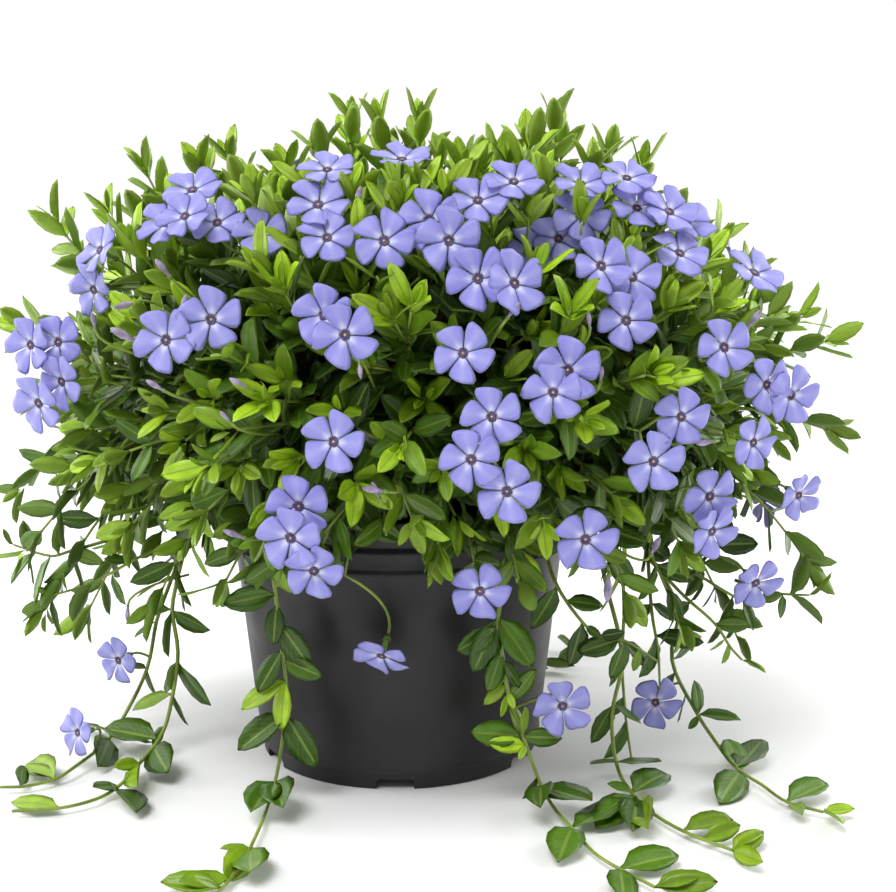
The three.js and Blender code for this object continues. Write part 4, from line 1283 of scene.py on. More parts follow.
def grow_shoot(gathered, points, first, youth, bare_tip=False):
    """A stem with a leaf pair at every knot and, at a leafy tip, a tuft of young leaves."""
    add_stem(gathered, points, STEM_RADIUS, youth)
    turn = leaf_random.uniform(0, math.pi)
    for place, along, share in walk(points, KNOT_SPACING, first):
        side = along.orthogonal().normalized()
        turn += math.pi / 2 + leaf_random.uniform(-0.3, 0.3)
        out = Matrix.Rotation(turn, 3, along) @ side
        fresh = 0 if bare_tip else max(share - 0.55, 0) / 0.45
        grown = (1 - 0.2 * fresh ** 2) * leaf_random.uniform(0.85, 1.12)
        for hand in (1, -1):
            add_leaf(gathered, place, along, out * hand, 60 - 26 * fresh, grown, youth + 0.6 * fresh, fresh)
    if not bare_tip:
        along = (points[-1] - points[-2]).normalized()
        add_tuft(gathered, points[-1], along, turn + math.pi / 2, youth, 1.0)


print("stem radius in millimetres:", STEM_RADIUS / MM)

# %% [markdown]
# ## Trailing stems
# Eight stems lean over the rim, hang down beside the pot and run on along the ground. Their routes are
# read in the photo, at the depth of the frame's own trailing stems; the two behind the pot are free. A
# few shorter ones hang from the bush at its lower right and left.

# %% Lay the trailing stems
TRAILS = {
    "left_low": (-82, [
        (173, 600, "y", -4), (178, 652, "y", -10), (173, 694, "y", -18), (163, 732, "y", -30),
        (140, 763, "z", 7), (119, 786, "z", 4), (96, 799, "z", 4), (59, 808, "z", 4), (12, 811, "z", 4)]),
    "left_high": (-99, [
        (160, 610, "y", 14), (147, 669, "y", 6), (122, 720, "y", -12), (106, 742, "y", -26),
        (73, 768, "z", 6), (55, 779, "z", 4), (25, 786, "z", 4), (0, 787, "z", 4)]),
    "front_left": (-38, [
        (276, 594, "y", -92), (281, 640, "y", -92), (287, 690, "y", -90), (284, 730, "y", -89),
        (275, 782, "y", -92), (254, 840, "z", 4), (231, 878, "z", 4), (205, 905, "z", 4)]),
    "front_right": (38, [
        (498, 617, "y", -99), (503, 660, "y", -100), (510, 700, "y", -100), (526, 745, "y", -100),
        (546, 795, "z", 8), (572, 828, "z", 4), (600, 857, "z", 4), (655, 887, "z", 4)]),
    "right_near": (68, [
        (610, 600, "y", -50), (622, 660, "y", -56), (612, 715, "y", -60), (616, 762, "y", -66),
        (632, 793, "z", 8), (647, 809, "z", 4), (683, 831, "z", 4), (732, 850, "z", 4)]),
    "right_far": (96, [
        (676, 600, "y", -12), (672, 660, "y", -20), (698, 715, "y", -30), (713, 738, "y", -38),
        (736, 768, "z", 6), (762, 785, "z", 4), (787, 802, "z", 4), (823, 812, "z", 4)]),
    "back_left": (-152, []),
    "back_right": (146, []),
}
HIDDEN_WAY = ((124, 112), (127, 70), (128, 34), (138, 8), (160, 4), (185, 4), (208, 4))
SIDE_SHOOTS = {
    "right_a": [
        (545, 552, -60), (557, 586, -74), (582, 622, -80), (600, 636, -80), (625, 641, -78), (657, 661, -70)],
    "right_b": [(648, 560, -30), (652, 614, -36), (658, 650, -36), (660, 690, -36)],
    "right_c": [(622, 560, -30), (624, 610, -36), (622, 660, -36), (626, 720, -40), (632, 762, -60)],
    "right_d": [(645, 555, -30), (684, 596, -38), (715, 624, -40), (731, 648, -38), (742, 660, -36)],
    "right_e": [(655, 550, -10), (697, 574, -20), (742, 600, -24), (760, 601, -24)],
    "right_f": [(735, 580, -10), (770, 592, -22), (785, 594, -24), (809, 595, -24)],
    "left_a": [(170, 545, -10), (142, 556, -12), (92, 583, -10), (51, 596, -8)],
    "left_b": [(110, 540, 0), (71, 551, -4), (51, 556, -4), (14, 545, -4)],
}
AXES = {"y": 1, "z": 2}
TRAIL_RADIUS = 1.25 * MM
ROUTE_STEPS = 5


def smooth_route(way, steps):
    """A smooth route through all the points, with its pull at each point from its two neighbours."""
    route = []
    for i in range(len(way) - 1):
        before = way[max(i - 1, 0)]
        after = way[min(i + 2, len(way) - 1)]
        a, b = way[i], way[i + 1]
        reach = (b - a).length
        pull_a = (b - before).normalized() * reach / 3
        pull_b = (after - a).normalized() * reach / 3
        for k in range(steps):
            t = k / steps
            route.append(a * (1 - t) ** 3 + (a + pull_a) * 3 * t * (1 - t) ** 2
                         + (b - pull_b) * 3 * t * t * (1 - t) + b * t ** 3)
    return route + [way[-1]]


def trail_way(heading, listed):
    turn = math.radians(heading)
    side = Vector((math.sin(turn), -math.cos(turn), 0))
    level = Vector((-side.y, side.x, 0))

    def at(radius, height, aside=0.0):
        return (side * radius + level * aside) * MM + UP * height * MM

    start = [at(78, SOIL_TOP - 4), at(78, SOIL_TOP + 4), at(85, POT_HEIGHT + 8), at(103, POT_HEIGHT + 9)]
    if listed:
        return start + [on_plane(column, row, AXES[axis], value * MM) for column, row, axis, value in listed]
    hidden = enumerate(HIDDEN_WAY)
    return start + [at(radius, height, math.sin(i * 0.9) * 9) for i, (radius, height) in hidden]


trail_pieces = {name: Gathering() for name in TRAILS}
routes = {name: smooth_route(trail_way(*way), ROUTE_STEPS) for name, way in TRAILS.items()}
side_routes = {}
for name, way in SIDE_SHOOTS.items():
    seen_way = [on_plane(column, row, 1, depth * MM) for column, row, depth in way]
    side_routes[name] = smooth_route(seen_way, ROUTE_STEPS)
for name, route in routes.items():
    add_stem(trail_pieces[name], route, TRAIL_RADIUS, 0.3)
print("trailing stems:", len(routes), "short hanging shoots:", len(side_routes))

# %% [markdown]
# The leaves of the stems at the front are the ones that stand free in the photo, each seen against the
# floor or the pot. So each is set from its foot and its tip there: column and row of both, its age from
# 0 for old to 1 for young, and how openly it shows its blade, from 0 for edge-on to 1.

# %% Set the free leaves
FREE_LEAVES = {
    "left_low": [
        (186, 540, 146, 573, 0.1, 0.9), (178, 574, 187, 611, 0.1, 0.9), (172, 578, 134, 590, 0.45, 0.8),
        (176, 606, 210, 631, 0.15, 0.8), (176, 611, 167, 657, 0.1, 1.0), (172, 615, 132, 612, 0.1, 0.4),
        (172, 622, 120, 640, 0.1, 0.9), (180, 664, 203, 710, 0.1, 0.8), (178, 667, 161, 692, 0.1, 0.7),
        (177, 660, 171, 690, 0.1, 0.4), (172, 695, 131, 708, 0.6, 0.8), (173, 697, 183, 727, 0.1, 0.6),
        (166, 722, 150, 746, 0.1, 0.6), (156, 742, 104, 727, 0.3, 0.8), (156, 746, 160, 768, 0.15, 0.5),
        (141, 762, 117, 764, 0.6, 0.5), (139, 764, 134, 792, 0.5, 0.4), (120, 786, 92, 789, 0.1, 0.9),
        (116, 790, 145, 818, 0.1, 0.5), (60, 808, 11, 794, 0.6, 0.9)],
    "left_high": [
        (146, 672, 126, 661, 0.15, 0.4), (147, 672, 155, 694, 0.1, 0.5), (112, 735, 80, 709, 0.2, 0.4),
        (110, 738, 102, 772, 0.15, 0.4), (120, 724, 139, 755, 0.15, 0.8), (57, 778, 22, 748, 0.6, 0.8),
        (55, 779, 22, 762, 0.6, 0.8), (18, 786, 22, 767, 0.4, 0.4), (160, 620, 132, 634, 0.1, 0.6)],
    "front_left": [
        (276, 596, 223, 604, 0.1, 0.9), (276, 600, 272, 645, 0.05, 0.8), (281, 617, 309, 668, 0.1, 1.0),
        (281, 650, 259, 692, 0.1, 0.9), (283, 660, 322, 677, 0.15, 0.9), (286, 680, 240, 708, 0.8, 0.8),
        (286, 682, 276, 731, 0.8, 0.8), (286, 712, 237, 750, 0.1, 0.9), (286, 714, 317, 768, 0.1, 1.0),
        (275, 782, 229, 827, 0.1, 1.0), (275, 784, 293, 840, 0.1, 0.9), (254, 846, 221, 844, 0.4, 0.8),
        (252, 850, 230, 871, 0.5, 0.7), (253, 850, 250, 892, 0.3, 0.9), (231, 880, 178, 884, 0.4, 0.9),
        (222, 888, 160, 881, 0.6, 0.8)],
    "front_right": [
        (498, 618, 474, 673, 0.15, 1.0), (499, 619, 533, 667, 0.15, 1.0), (490, 622, 473, 647, 0.45, 0.8),
        (488, 622, 457, 652, 0.1, 0.8), (503, 655, 489, 692, 0.1, 0.9), (504, 660, 520, 688, 0.1, 0.8),
        (506, 680, 491, 687, 0.7, 0.7), (507, 686, 484, 703, 0.8, 0.7), (508, 690, 503, 718, 0.85, 0.8),
        (508, 690, 514, 708, 0.7, 0.7), (511, 698, 534, 672, 0.4, 0.8), (517, 738, 511, 704, 0.5, 0.7),
        (520, 738, 523, 706, 0.5, 0.6), (520, 740, 470, 732, 0.15, 1.0), (520, 746, 488, 742, 0.8, 0.8),
        (522, 748, 519, 759, 0.7, 0.8), (526, 738, 561, 739, 0.2, 0.9), (543, 786, 600, 807, 0.15, 1.0),
        (541, 784, 540, 806, 0.1, 0.8), (536, 774, 524, 800, 0.1, 0.5), (569, 826, 627, 801, 0.15, 0.8),
        (570, 827, 547, 879, 0.15, 1.0), (621, 870, 680, 851, 0.15, 0.9), (621, 872, 626, 892, 0.2, 0.9),
        (655, 886, 699, 876, 0.4, 0.9), (656, 887, 718, 880, 0.6, 0.6)],
    "right_near": [
        (616, 700, 590, 742, 0.1, 0.9), (614, 705, 640, 725, 0.1, 0.7), (614, 762, 590, 763, 0.15, 0.6),
        (618, 765, 662, 764, 0.1, 0.8), (628, 798, 607, 783, 0.15, 0.9), (628, 801, 577, 828, 0.15, 1.0),
        (632, 793, 674, 763, 0.15, 1.0), (633, 797, 652, 796, 0.75, 0.8), (633, 806, 630, 853, 0.15, 0.9),
        (634, 806, 649, 834, 0.8, 0.6), (686, 832, 734, 819, 0.5, 1.0), (700, 838, 741, 825, 0.5, 0.4),
        (733, 850, 763, 827, 0.75, 0.8), (734, 851, 766, 832, 0.75, 0.4), (734, 852, 765, 863, 0.7, 0.3)],
    "right_far": [
        (698, 716, 741, 717, 0.15, 0.9), (697, 715, 699, 682, 0.15, 0.6), (696, 716, 689, 728, 0.15, 0.6),
        (676, 660, 700, 640, 0.1, 0.9), (676, 670, 655, 700, 0.1, 0.9), (686, 694, 676, 722, 0.1, 0.8),
        (739, 770, 728, 742, 0.15, 0.8), (739, 769, 771, 735, 0.15, 0.9), (738, 771, 709, 809, 0.15, 0.9),
        (789, 802, 828, 782, 0.3, 0.9), (792, 804, 802, 814, 0.5, 0.9), (823, 812, 855, 807, 0.8, 0.8),
        (823, 812, 845, 820, 0.7, 0.5)],
    "right_a": [
        (557, 588, 534, 632, 0.05, 1.0), (582, 623, 571, 668, 0.05, 1.0), (597, 612, 601, 638, 0.05, 0.8),
        (618, 649, 579, 652, 0.1, 0.9), (602, 630, 625, 632, 0.05, 0.8), (641, 650, 634, 672, 0.5, 0.7),
        (655, 661, 689, 701, 0.1, 1.0), (626, 642, 612, 680, 0.1, 0.9), (570, 600, 604, 604, 0.1, 0.9)],
    "right_b": [
        (654, 634, 703, 644, 0.1, 1.0), (655, 636, 640, 678, 0.1, 0.9), (651, 604, 675, 620, 0.1, 0.8),
        (650, 606, 628, 622, 0.1, 0.8), (660, 690, 676, 712, 0.1, 0.8), (660, 688, 645, 716, 0.1, 0.8)],
    "right_c": [
        (628, 640, 616, 688, 0.1, 0.9), (629, 642, 650, 668, 0.05, 0.9), (630, 690, 609, 716, 0.1, 0.9),
        (630, 720, 605, 759, 0.15, 1.0), (631, 722, 666, 746, 0.15, 0.9), (631, 690, 652, 716, 0.1, 0.8)],
    "right_d": [
        (715, 624, 750, 625, 0.2, 0.4), (727, 640, 734, 631, 0.5, 0.6), (724, 641, 712, 652, 0.5, 0.7),
        (728, 645, 722, 664, 0.6, 0.7), (742, 660, 766, 672, 0.6, 0.9), (742, 660, 762, 666, 0.6, 0.5),
        (690, 600, 668, 616, 0.15, 0.8), (690, 600, 704, 582, 0.15, 0.8)],
    "right_e": [
        (757, 601, 782, 594, 0.4, 0.9), (735, 596, 721, 623, 0.2, 0.5), (743, 601, 755, 630, 0.15, 0.5),
        (714, 583, 706, 610, 0.1, 0.7)],
    "right_f": [
        (809, 595, 834, 574, 0.6, 0.9), (809, 594, 831, 580, 0.6, 0.6), (789, 594, 810, 555, 0.15, 0.5),
        (791, 595, 824, 621, 0.15, 0.5), (782, 594, 783, 619, 0.1, 0.4)],
    "left_a": [
        (92, 583, 72, 621, 0.15, 0.5), (51, 596, 24, 624, 0.5, 0.9), (51, 596, 40, 589, 0.5, 0.6),
        (110, 576, 120, 606, 0.1, 0.8), (128, 564, 104, 560, 0.2, 0.8), (70, 590, 62, 572, 0.3, 0.6)],
    "left_b": [
        (71, 551, 104, 563, 0.4, 0.9), (60, 553, 60, 516, 0.2, 0.7), (51, 556, 31, 604, 0.2, 0.7),
        (38, 553, 22, 520, 0.3, 0.7), (38, 554, 10, 584, 0.2, 0.6), (14, 545, 0, 530, 0.6, 0.8)],
}
GROUND = 12 * MM
FREE_LEAF_YOUTH = 0.16
LEAST_SIZE = 0.35
MOST_SIZE = 1.35
EDGE_ON = 75


def nearest_on(route, column, row):
    def gap(point):
        seen = seen_at(point)
        return math.hypot(seen[0] - column, seen[1] - row)

    return min(route, key=gap)


def set_free_leaf(gathered, route, column, row, tip_column, tip_row, youth, openness):
    root = nearest_on(route, column, row)
    lying = root.z < GROUND
    tip_depth = root.z + leaf_random.uniform(2, 5) * MM if lying else root.y - leaf_random.uniform(0, 7) * MM
    tip = on_plane(tip_column, tip_row, 2 if lying else 1, tip_depth)
    way = tip - root
    size = min(max(way.length / LEAF_LENGTH, LEAST_SIZE), MOST_SIZE)
    way.normalize()
    outward = Vector((root.x * 0.5, root.y, 0)).normalized()
    top = UP + Vector((0, -0.3, 0)) if lying else outward + UP * 0.35
    roll = math.radians(leaf_random.choice((-1, 1)) * EDGE_ON * (1 - openness))
    top = Matrix.Rotation(roll, 3, way) @ top
    matrix = leaf_matrix(root, way, top, LEAF_LENGTH * size, 1.05 if youth < 0.4 else 0.9)
    if hides_a_bloom(leaf_diamond(matrix)):
        return
    form, tone = leaf_random.choice(LEAF_FORMS), leaf_tone(youth + FREE_LEAF_YOUTH)
    matrix = lift_tip(form, matrix)
    keep_clear_of(leaf_diamond(matrix), DIAMOND_FACES)
    gathered.add(form, matrix, tone)


for name in TRAILS:
    for leaf in FREE_LEAVES.get(name, []):
        set_free_leaf(trail_pieces[name], routes[name], *leaf)
print("free leaves:", sum(len(leaves) for leaves in FREE_LEAVES.values()))

# %% [markdown]
# Behind the pot and near the rim nothing is known leaf by leaf, so there the pairs follow the plant's
# rule. A hanging stem turns all its blades to the light, so each pair lies flat to the left and right
# of it.

# %% Grow the other leaves of the trailing stems
HIDDEN_SHARE = {"back_left": 1.0, "back_right": 1.0}
RIM_SHARE = 0.2
TRAIL_SPACING = 0.021


def grow_flat_pairs(gathered, route, upto):
    for place, along, share in walk(route, TRAIL_SPACING, 0.03):
        if share > upto:
            break
        out = along.cross(light_at(place)).normalized()
        out = Matrix.Rotation(leaf_random.uniform(-0.4, 0.4), 3, along) @ out
        grown = leaf_random.uniform(0.85, 1.15)
        for hand in (1, -1):
            add_leaf(gathered, place, along, out * hand, 58, grown, 0.2, flat=True)


for name, route in routes.items():
    grow_flat_pairs(trail_pieces[name], route, HIDDEN_SHARE.get(name, RIM_SHARE))
    if name in HIDDEN_SHARE:
        add_tuft(trail_pieces[name], route[-1], (route[-1] - route[-2]).normalized(), 0.3, 0.3, 0.9)
print("leaves on trailing stems are set")

# %% [markdown]
# ## Shoots of the bush
# Behind every few blooms of a bunch stands the shoot that bears them. Other shoots end at the bush's
# outline, over its front and round its back. Then a few hundred shorter ones fill the crown between
# them, as in a real plant that has been pinched back. All start in the dark middle and arch outward.
# The lowest bloom hangs on a long stalk in front of the pot, from a knot of its own.

# %% List the shoots' tips
OUTLINE_TIPS = (
    (35, 212), (62, 266), (88, 202), (128, 158), (184, 150), (217, 143), (266, 186), (310, 130),
    (346, 100), (375, 102), (411, 127), (442, 143), (503, 139), (540, 124), (566, 103), (622, 138),
    (659, 151), (711, 231), (739, 232), (790, 326), (822, 314), (849, 338), (848, 430), (831, 571),
    (764, 672), (4, 323), (2, 490), (2, 560), (25, 620), (70, 622),
)
OUTLINE_DEPTHS = (0, 70, -50, 35, -25, 95, -70)
SKIRT_TIPS = ((135, 618), (205, 600), (262, 606), (312, 560), (440, 560), (530, 600), (645, 610), (700, 640))
UPPER_TIPS = (
    (112, 232), (160, 196), (206, 196), (238, 182), (246, 258), (288, 240), (300, 168), (345, 172),
    (352, 225), (372, 262), (396, 188), (420, 172), (447, 180), (462, 238), (498, 196), (540, 196),
    (546, 262), (560, 168), (598, 206), (606, 152), (642, 186), (650, 250), (690, 206), (704, 262),
    (585, 306), (210, 350), (410, 300), (668, 372), (742, 300), (120, 312),
)
UPPER_SHARE = 1.03
INNER_TIPS = ((190, 470), (255, 400), (270, 280), (390, 310), (400, 450), (600, 420), (690, 300), (390, 200))
BACK_TIPS = 26
print("listed tips:", len(OUTLINE_TIPS + SKIRT_TIPS + UPPER_TIPS + INNER_TIPS))

# %% [markdown]
# Each shoot belongs to the clump of the frame in which it starts: one of seven sectors round the
# middle, or the middle one. A shoot's way is a curve from the dark middle to its tip. Low shoots rise
# first and then hang over, and high ones go nearly straight.

# %% Share the shoots among the clumps
SECTORS = 7
SECTOR_TURN = 12
COLUMN_RADIUS = 27 * MM
SHOOT_STEPS = 12
GOLDEN_DEGREES = 137.508

clumps = {f"leafy_clump_{i + 1}": Gathering() for i in range(SECTORS)}
clumps["leafy_clump_middle"] = Gathering()


def clump_of(point):
    away = shrink(point - HEART)
    if math.hypot(point.x - HEART.x, point.y - HEART.y) < COLUMN_RADIUS:
        return clumps["leafy_clump_middle"]
    turn = (math.degrees(math.atan2(away.y, away.x)) - SECTOR_TURN) % 360
    return clumps[f"leafy_clump_{int(turn / (360 / SECTORS)) + 1}"]


def arch_to(tip, aside=0.0, rise=0.0, start=0.43):
    out = tip - HEART
    inward = out * start
    inward.z = max(inward.z, -0.004)
    root = HEART + inward
    span = (tip - root).length
    middle = root.lerp(tip, 0.5)
    height = out.z / REACH.z
    middle.z += span * (rise + float(np.interp(height, (-0.35, 0.05, 0.4), (0.34, 0.05, -0.10))))
    level = Vector((out.y, -out.x, 0)).normalized()
    middle += level * aside * span
    middle += Vector((out.x, out.y, 0)) * float(np.interp(height, (0.1, 0.6), (0, 0.14)))
    return curve_points((root, middle, tip), SHOOT_STEPS)


def back_place(k, count, share):
    turn = math.radians((k * GOLDEN_DEGREES) % 170 + 5)
    rise = -0.4 + 1.3 * (k + 0.5) / count
    reach = share * (1 + min(rise, 0) * HANG_BACK * 2)
    flat = math.sqrt(1 - min(rise * rise, 1))
    return HEART + stretch(Vector((math.cos(turn) * flat, math.sin(turn) * flat, rise)) * reach)


print("clumps:", len(clumps))

# %% [markdown]
# First come the shoots that bear blooms, with a thin stalk to each bloom, then the short hanging shoots
# with their listed leaves, and then the shoots that end at the listed tips.

# %% Grow the bush
LOW_NODE = "blooms_41"
LOW_KNOT = (345, 575, -118)
BLOOMS_A_SHOOT = 3
BLOOM_STALK = 0.75 * MM


def bloom_stem(gathered, start, bloom):
    """The thin stalk from a knot on a shoot to the end of a bloom's tube."""
    end = bloom["centre"] - bloom["face"] * (TUBE_LENGTH + 0.0006)
    pull = end - bloom["face"] * (end - start).length * 0.45
    points = curve_points((start, pull, end), 7)
    gathered.add(tube_shape(points, [BLOOM_STALK] * len(points)), IDENTITY, (0.6, 0.5, 0, 1), mark_shift=1)


def root_of(bloom):
    return bloom["centre"] - bloom["face"] * TUBE_LENGTH


for node, bunch in bunches.items():
    if node in HANGING_NODES:
        place = root_of(bunch[0])
        name, nearest = min(
            ((name, point) for name, route in routes.items() for point in route),
            key=lambda pair: (pair[1] - place).length,
        )
        bloom_stem(trail_pieces[name], nearest, bunch[0])
        continue
    for i in range(0, len(bunch), BLOOMS_A_SHOOT):
        some = bunch[i : i + BLOOMS_A_SHOOT]
        knot = sum((root_of(b) - b["face"] * 6 * MM for b in some), Vector()) / len(some)
        knot -= (knot - HEART) * 0.06
        if node == LOW_NODE:
            knot = on_plane(LOW_KNOT[0], LOW_KNOT[1], 1, LOW_KNOT[2] * MM)
        route = arch_to(knot, leaf_random.uniform(-0.12, 0.12))
        gathered = clump_of(route[0])
        grow_shoot(gathered, route, 0.02, youth=0.2, bare_tip=True)
        for bloom in some:
            bloom_stem(gathered, knot, bloom)

for name, route in side_routes.items():
    gathered = clump_of(route[0])
    add_stem(gathered, route, STEM_RADIUS, 0.5)
    for leaf in FREE_LEAVES[name]:
        set_free_leaf(gathered, route, *leaf)

tips = []
for i, (column, row) in enumerate(OUTLINE_TIPS):
    near = on_bush(column, row)
    depth = OUTLINE_DEPTHS[i % len(OUTLINE_DEPTHS)] * MM * (1 - 0.6 * abs(near.x - HEART.x) / REACH.x)
    tips.append(on_plane(column, row, 1, depth))
tips += [on_bush(column, row) for column, row in SKIRT_TIPS + INNER_TIPS]
tips += [on_bush(column, row, UPPER_SHARE) for column, row in UPPER_TIPS]
tips += [back_place(k + 3, BACK_TIPS, 1.0) for k in range(BACK_TIPS)]


def youth_at(point):
    """Shoots at the top of the bush are younger than those that hang at its lower edge."""
    return float(np.interp((point.z - HEART.z) / REACH.z, (-0.4, 0.2, 0.9), (0.05, 0.22, 0.52)))


def free_part(route):
    """The part of a shoot's way that stays above the lower edge of the bush."""
    kept = 1
    while kept < len(route) and not below_the_skirt(route[kept]):
        kept += 1
    return route[:kept]


for tip in tips:
    end = tip - (tip - HEART).normalized() * TUFT_REACH
    route = free_part(arch_to(end, leaf_random.uniform(-0.15, 0.15)))
    if len(route) > 3:
        grow_shoot(clump_of(route[0]), route, 0.02, youth=youth_at(tip))

# %% [markdown]
# The shorter shoots are spread evenly over the whole bush by the golden angle, as seeds are in a
# sunflower, with chance in their length and lean. Their tips lie just inside the outline, so the listed
# shoots stay the furthest ones.

# %% Fill the crown
FILLERS = 340
GOLDEN_ANGLE = 2.399963
for k in range(FILLERS):
    rise = 0.97 - 1.52 * (k + 0.5) / FILLERS
    turn = k * GOLDEN_ANGLE
    flat = math.sqrt(1 - rise * rise)
    share = leaf_random.uniform(0.70, 0.92) * (1 + min(rise, 0) * HANG_BACK * 2)
    tip = HEART + stretch(Vector((math.cos(turn) * flat, math.sin(turn) * flat, rise)) * share)
    route = free_part(arch_to(tip, leaf_random.uniform(-0.3, 0.3), leaf_random.uniform(-0.08, 0.1), 0.5))
    if len(route) < 4:
        continue
    grow_shoot(clump_of(route[0]), route, 0.012, youth=youth_at(tip) + leaf_random.uniform(-0.15, 0.15))
print("leaves and stems:", sum(len(g.places) for g in clumps.values()))

# %% [markdown]
# ## Buds
# Between the open blooms stand slim twisted buds, grey-violet, each on a short stalk with a small green
# calyx. The listed ones are read in the photo, from foot to tip. The others are at the back.

# %% Set the buds
BUDS = (
    (172, 279, 155, 259), (141, 344, 110, 328), (96, 332, 92, 312), (141, 301, 114, 308),
    (180, 312, 187, 294), (249, 388, 229, 378), (166, 392, 146, 380), (232, 424, 220, 411),
    (247, 539, 223, 530), (355, 210, 361, 186), (745, 331, 761, 310), (717, 441, 696, 444),
    (650, 557, 660, 537), (506, 320, 520, 302), (128, 604, 127, 622), (600, 384, 602, 366),
    (388, 492, 362, 488), (380, 500, 372, 482), (609, 572, 607, 603), (359, 362, 361, 379),
    (556, 398, 545, 388), (590, 330, 588, 312),
)
BACK_BUDS = 16
BACK_BUD_LENGTH = 16 * MM
BUD_STALK = 0.7 * MM


def bud_shape():
    """A twisted spindle of length 1 that stands on its foot, in a small calyx."""
    bpy.ops.mesh.primitive_uv_sphere_add(segments=8, ring_count=9, radius=0.5, location=(0, 0, 0.5))
    bud = bpy.context.object
    bpy.ops.object.mode_set(mode="EDIT")
    mesh = bmesh.from_edit_mesh(bud.data)
    for vertex in mesh.verts:
        height = vertex.co.z + 0.5
        slim = float(np.interp(height, (0, 0.25, 0.62, 0.85, 1), (0.16, 0.15, 0.30, 0.26, 0.2)))
        around = math.atan2(vertex.co.y, vertex.co.x)
        wide = math.hypot(vertex.co.x, vertex.co.y) * slim * (1 + 0.16 * math.cos(2 * around))
        turn = around + height * 2.4
        vertex.co.x = wide * math.cos(turn)
        vertex.co.y = wide * math.sin(turn)
    bmesh.update_edit_mesh(bud.data)
    bpy.ops.object.mode_set(mode="OBJECT")
    bpy.ops.mesh.primitive_cone_add(vertices=5, radius1=0.05, radius2=0.11, depth=0.2, location=(0, 0, 0.06))
    calyx = bpy.context.object
    for piece, mark in ((bud, 0), (calyx, 1)):
        piece.data.materials.append(BUD)
        piece.data.materials.append(CALYX)
        for side in piece.data.polygons:
            side.material_index = mark
    bud.select_set(True)
    bpy.context.view_layer.objects.active = bud
    bpy.ops.object.transform_apply(location=True, rotation=True, scale=True)
    bpy.ops.object.join()
    return shape_of(bud)


def set_bud(gathered, foot, tip):
    along = (tip - foot).normalized()
    side = along.orthogonal().normalized()
    size = (tip - foot).length
    matrix = matrix_of(side * size, along.cross(side) * size, along * size, foot)
    gathered.add(BUD_FORM, matrix, (0.5, 0.5, 0, 1))
    start = foot.lerp(HEART, 0.2) - UP * 6 * MM
    pull = foot - along * 8 * MM
    stalk = curve_points((start, pull, foot + along * 0.5 * MM), 6)
    gathered.add(tube_shape(stalk, [BUD_STALK] * len(stalk)), IDENTITY, (0.6, 0.5, 0, 1), mark_shift=2)


BUD_FORM = bud_shape()
buds = Gathering()
for column, row, tip_column, tip_row in BUDS:
    foot = on_bush(column, row, 0.99)
    set_bud(buds, foot, on_plane(tip_column, tip_row, 1, foot.y - 3 * MM))
for k in range(BACK_BUDS):
    foot = back_place(k * 5 + 1, BACK_BUDS * 5, 0.97)
    lean = Vector((leaf_random.uniform(-0.5, 0.5), leaf_random.uniform(-0.2, 0.5), 1)).normalized()
    set_bud(buds, foot, foot + (lean + light_at(foot)).normalized() * BACK_BUD_LENGTH)
bud_piece = buds.finish("buds", (BUD, CALYX, STEM))
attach(bud_piece, "root")
print("buds:", len(BUDS) + BACK_BUDS)

# %% [markdown]
# ## The dark middle of painted shade
# Between the leaves the eye meets only dusk: old leaves, shade and a tangle of bare stems. A rough dark
# body in the middle of each outer clump stands for it, well below the leaves, so that no floor shines
# through the bush. Its near-black green is painted shade, much darker than the leaves and stems it
# stands for.

# %% Fill the middle
CORE_SHARE = 0.56
CORE_ROWS = ((0.40, 136), (0.66, 156), (0.95, 176), (1.0, 197), (0.95, 222), (0.78, 247), (0.5, 268))
CORE_STEPS = 6


def core_point(turn, share, height):
    wave = 1 + 0.07 * math.sin(turn * 9 + height * 90) + 0.05 * math.sin(turn * 17 - height * 140)
    reach = CORE_SHARE * share * wave
    return Vector((HEART.x + math.cos(turn) * REACH.x * reach, math.sin(turn) * REACH.y * reach, height))


def core_shape(low_turn, high_turn):
    """A slice of the dark body of painted shade, like a slice of a cake, with a wavy outside."""
    places = []
    for share, height in CORE_ROWS:
        places.append(Vector((HEART.x, 0, height * MM)))
        for k in range(CORE_STEPS + 1):
            turn = low_turn + (high_turn - low_turn) * k / CORE_STEPS
            places.append(core_point(turn, share, height * MM))
    return ringed_shape(places, len(CORE_ROWS), CORE_STEPS + 2)


# Each outer clump gets a slice of the dark body, finished in painted shade.
for i in range(SECTORS):
    low_turn = math.radians(SECTOR_TURN + i * 360 / SECTORS)
    high_turn = math.radians(SECTOR_TURN + (i + 1) * 360 / SECTORS)
    clumps[f"leafy_clump_{i + 1}"].add(core_shape(low_turn, high_turn), IDENTITY, (0, 0, 0, 1), mark_shift=2)

for name, gathered in clumps.items():
    piece = gathered.finish(name.replace("leafy_clump", "foliage"), (LEAF, STEM, PAINTED_SHADE))
    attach(piece, "root")
    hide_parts(name)
for name, gathered in trail_pieces.items():
    piece = gathered.finish("trail_" + name, (LEAF, STEM))
    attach(piece, "root")
    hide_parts("trailing_stem_" + name)
faces = sum(len(o.data.polygons) for o in bpy.context.scene.objects if o.type == "MESH")
print("faces of all pieces:", faces)

# %% [markdown]
# ## Floor and light
# The photo shows a seamless white floor under soft light from above and from the left front, with a
# faint shadow where pot and stems touch it. The background lights the plant more from behind than from
# the front, and it is plain white where the camera sees it.

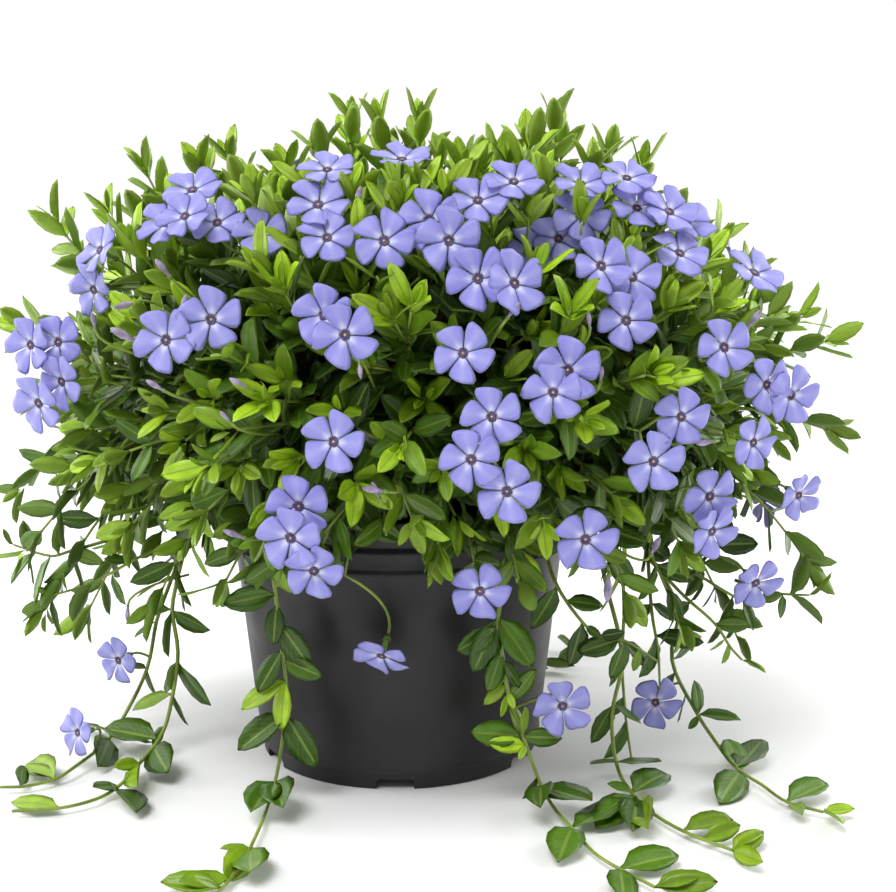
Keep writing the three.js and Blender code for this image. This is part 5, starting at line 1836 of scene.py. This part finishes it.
# %% Floor and light
FLOOR_SIZE = 12
FLOOR_DROP = 0.0002
FLOOR_WHITE = (0.90, 0.90, 0.90, 1)
floor_finish = new_finish("white_floor", 0.7, FLOOR_WHITE)[0]
bpy.ops.mesh.primitive_plane_add(size=FLOOR_SIZE, location=(0, 0, -FLOOR_DROP))
floor = bpy.context.object
floor.name = "floor"
floor.data.materials.append(floor_finish)

FRONT_LIGHT = 0.36
BACK_LIGHT = 1.02
FRONT_END = -0.7
BACK_END = 0.5
AIM = Vector((0, 0, 0.17))
KEY_PLACE = (-0.5, -0.7, 1.6)
KEY_POWER = 2.4
KEY_ANGLE = math.radians(35)
STRIPS = (("strip_left", (-1.1, 0.25, 0.5), 7), ("strip_right", (1.1, 0.25, 0.5), 8))
STRIP_WIDTH = 0.5
STRIP_HEIGHT = 1.2
world = bpy.data.worlds.new("studio")
world.use_nodes = True
sky_tree = world.node_tree
sky_place = add_node(sky_tree, "ShaderNodeTexCoord")
sky_parts = add_node(sky_tree, "ShaderNodeSeparateXYZ")
sky_tree.links.new(sky_place.outputs["Generated"], sky_parts.inputs[0])
gradient = range_node(sky_tree, sky_parts.outputs["Y"], FRONT_END, BACK_END, FRONT_LIGHT, BACK_LIGHT)
seen_directly = add_node(sky_tree, "ShaderNodeLightPath").outputs["Is Camera Ray"]
strength = math_node(sky_tree, "MAXIMUM", gradient, seen_directly)
sky_tree.links.new(strength, sky_tree.nodes["Background"].inputs["Strength"])
sky_tree.nodes["Background"].inputs["Color"].default_value = (1.0, 1.0, 1.0, 1)
bpy.context.scene.world = world


def aimed_light(name, kind, place, power):
    lamp = bpy.data.lights.new(name, kind)
    lamp.energy = power
    light = bpy.data.objects.new(name, lamp)
    light.location = place
    light.rotation_euler = (AIM - Vector(place)).to_track_quat("-Z", "Y").to_euler()
    bpy.context.scene.collection.objects.link(light)
    return lamp


key = aimed_light("key_above", "SUN", KEY_PLACE, KEY_POWER)
key.angle = KEY_ANGLE
for name, place, power in STRIPS:
    strip = aimed_light(name, "AREA", place, power)
    strip.shape = "RECTANGLE"
    strip.size = STRIP_WIDTH
    strip.size_y = STRIP_HEIGHT
bpy.context.scene.view_settings.view_transform = "Standard"
print("light in front:", FRONT_LIGHT, "behind:", BACK_LIGHT)

# %% Sizes and end
print("frame's box:", cad_box)
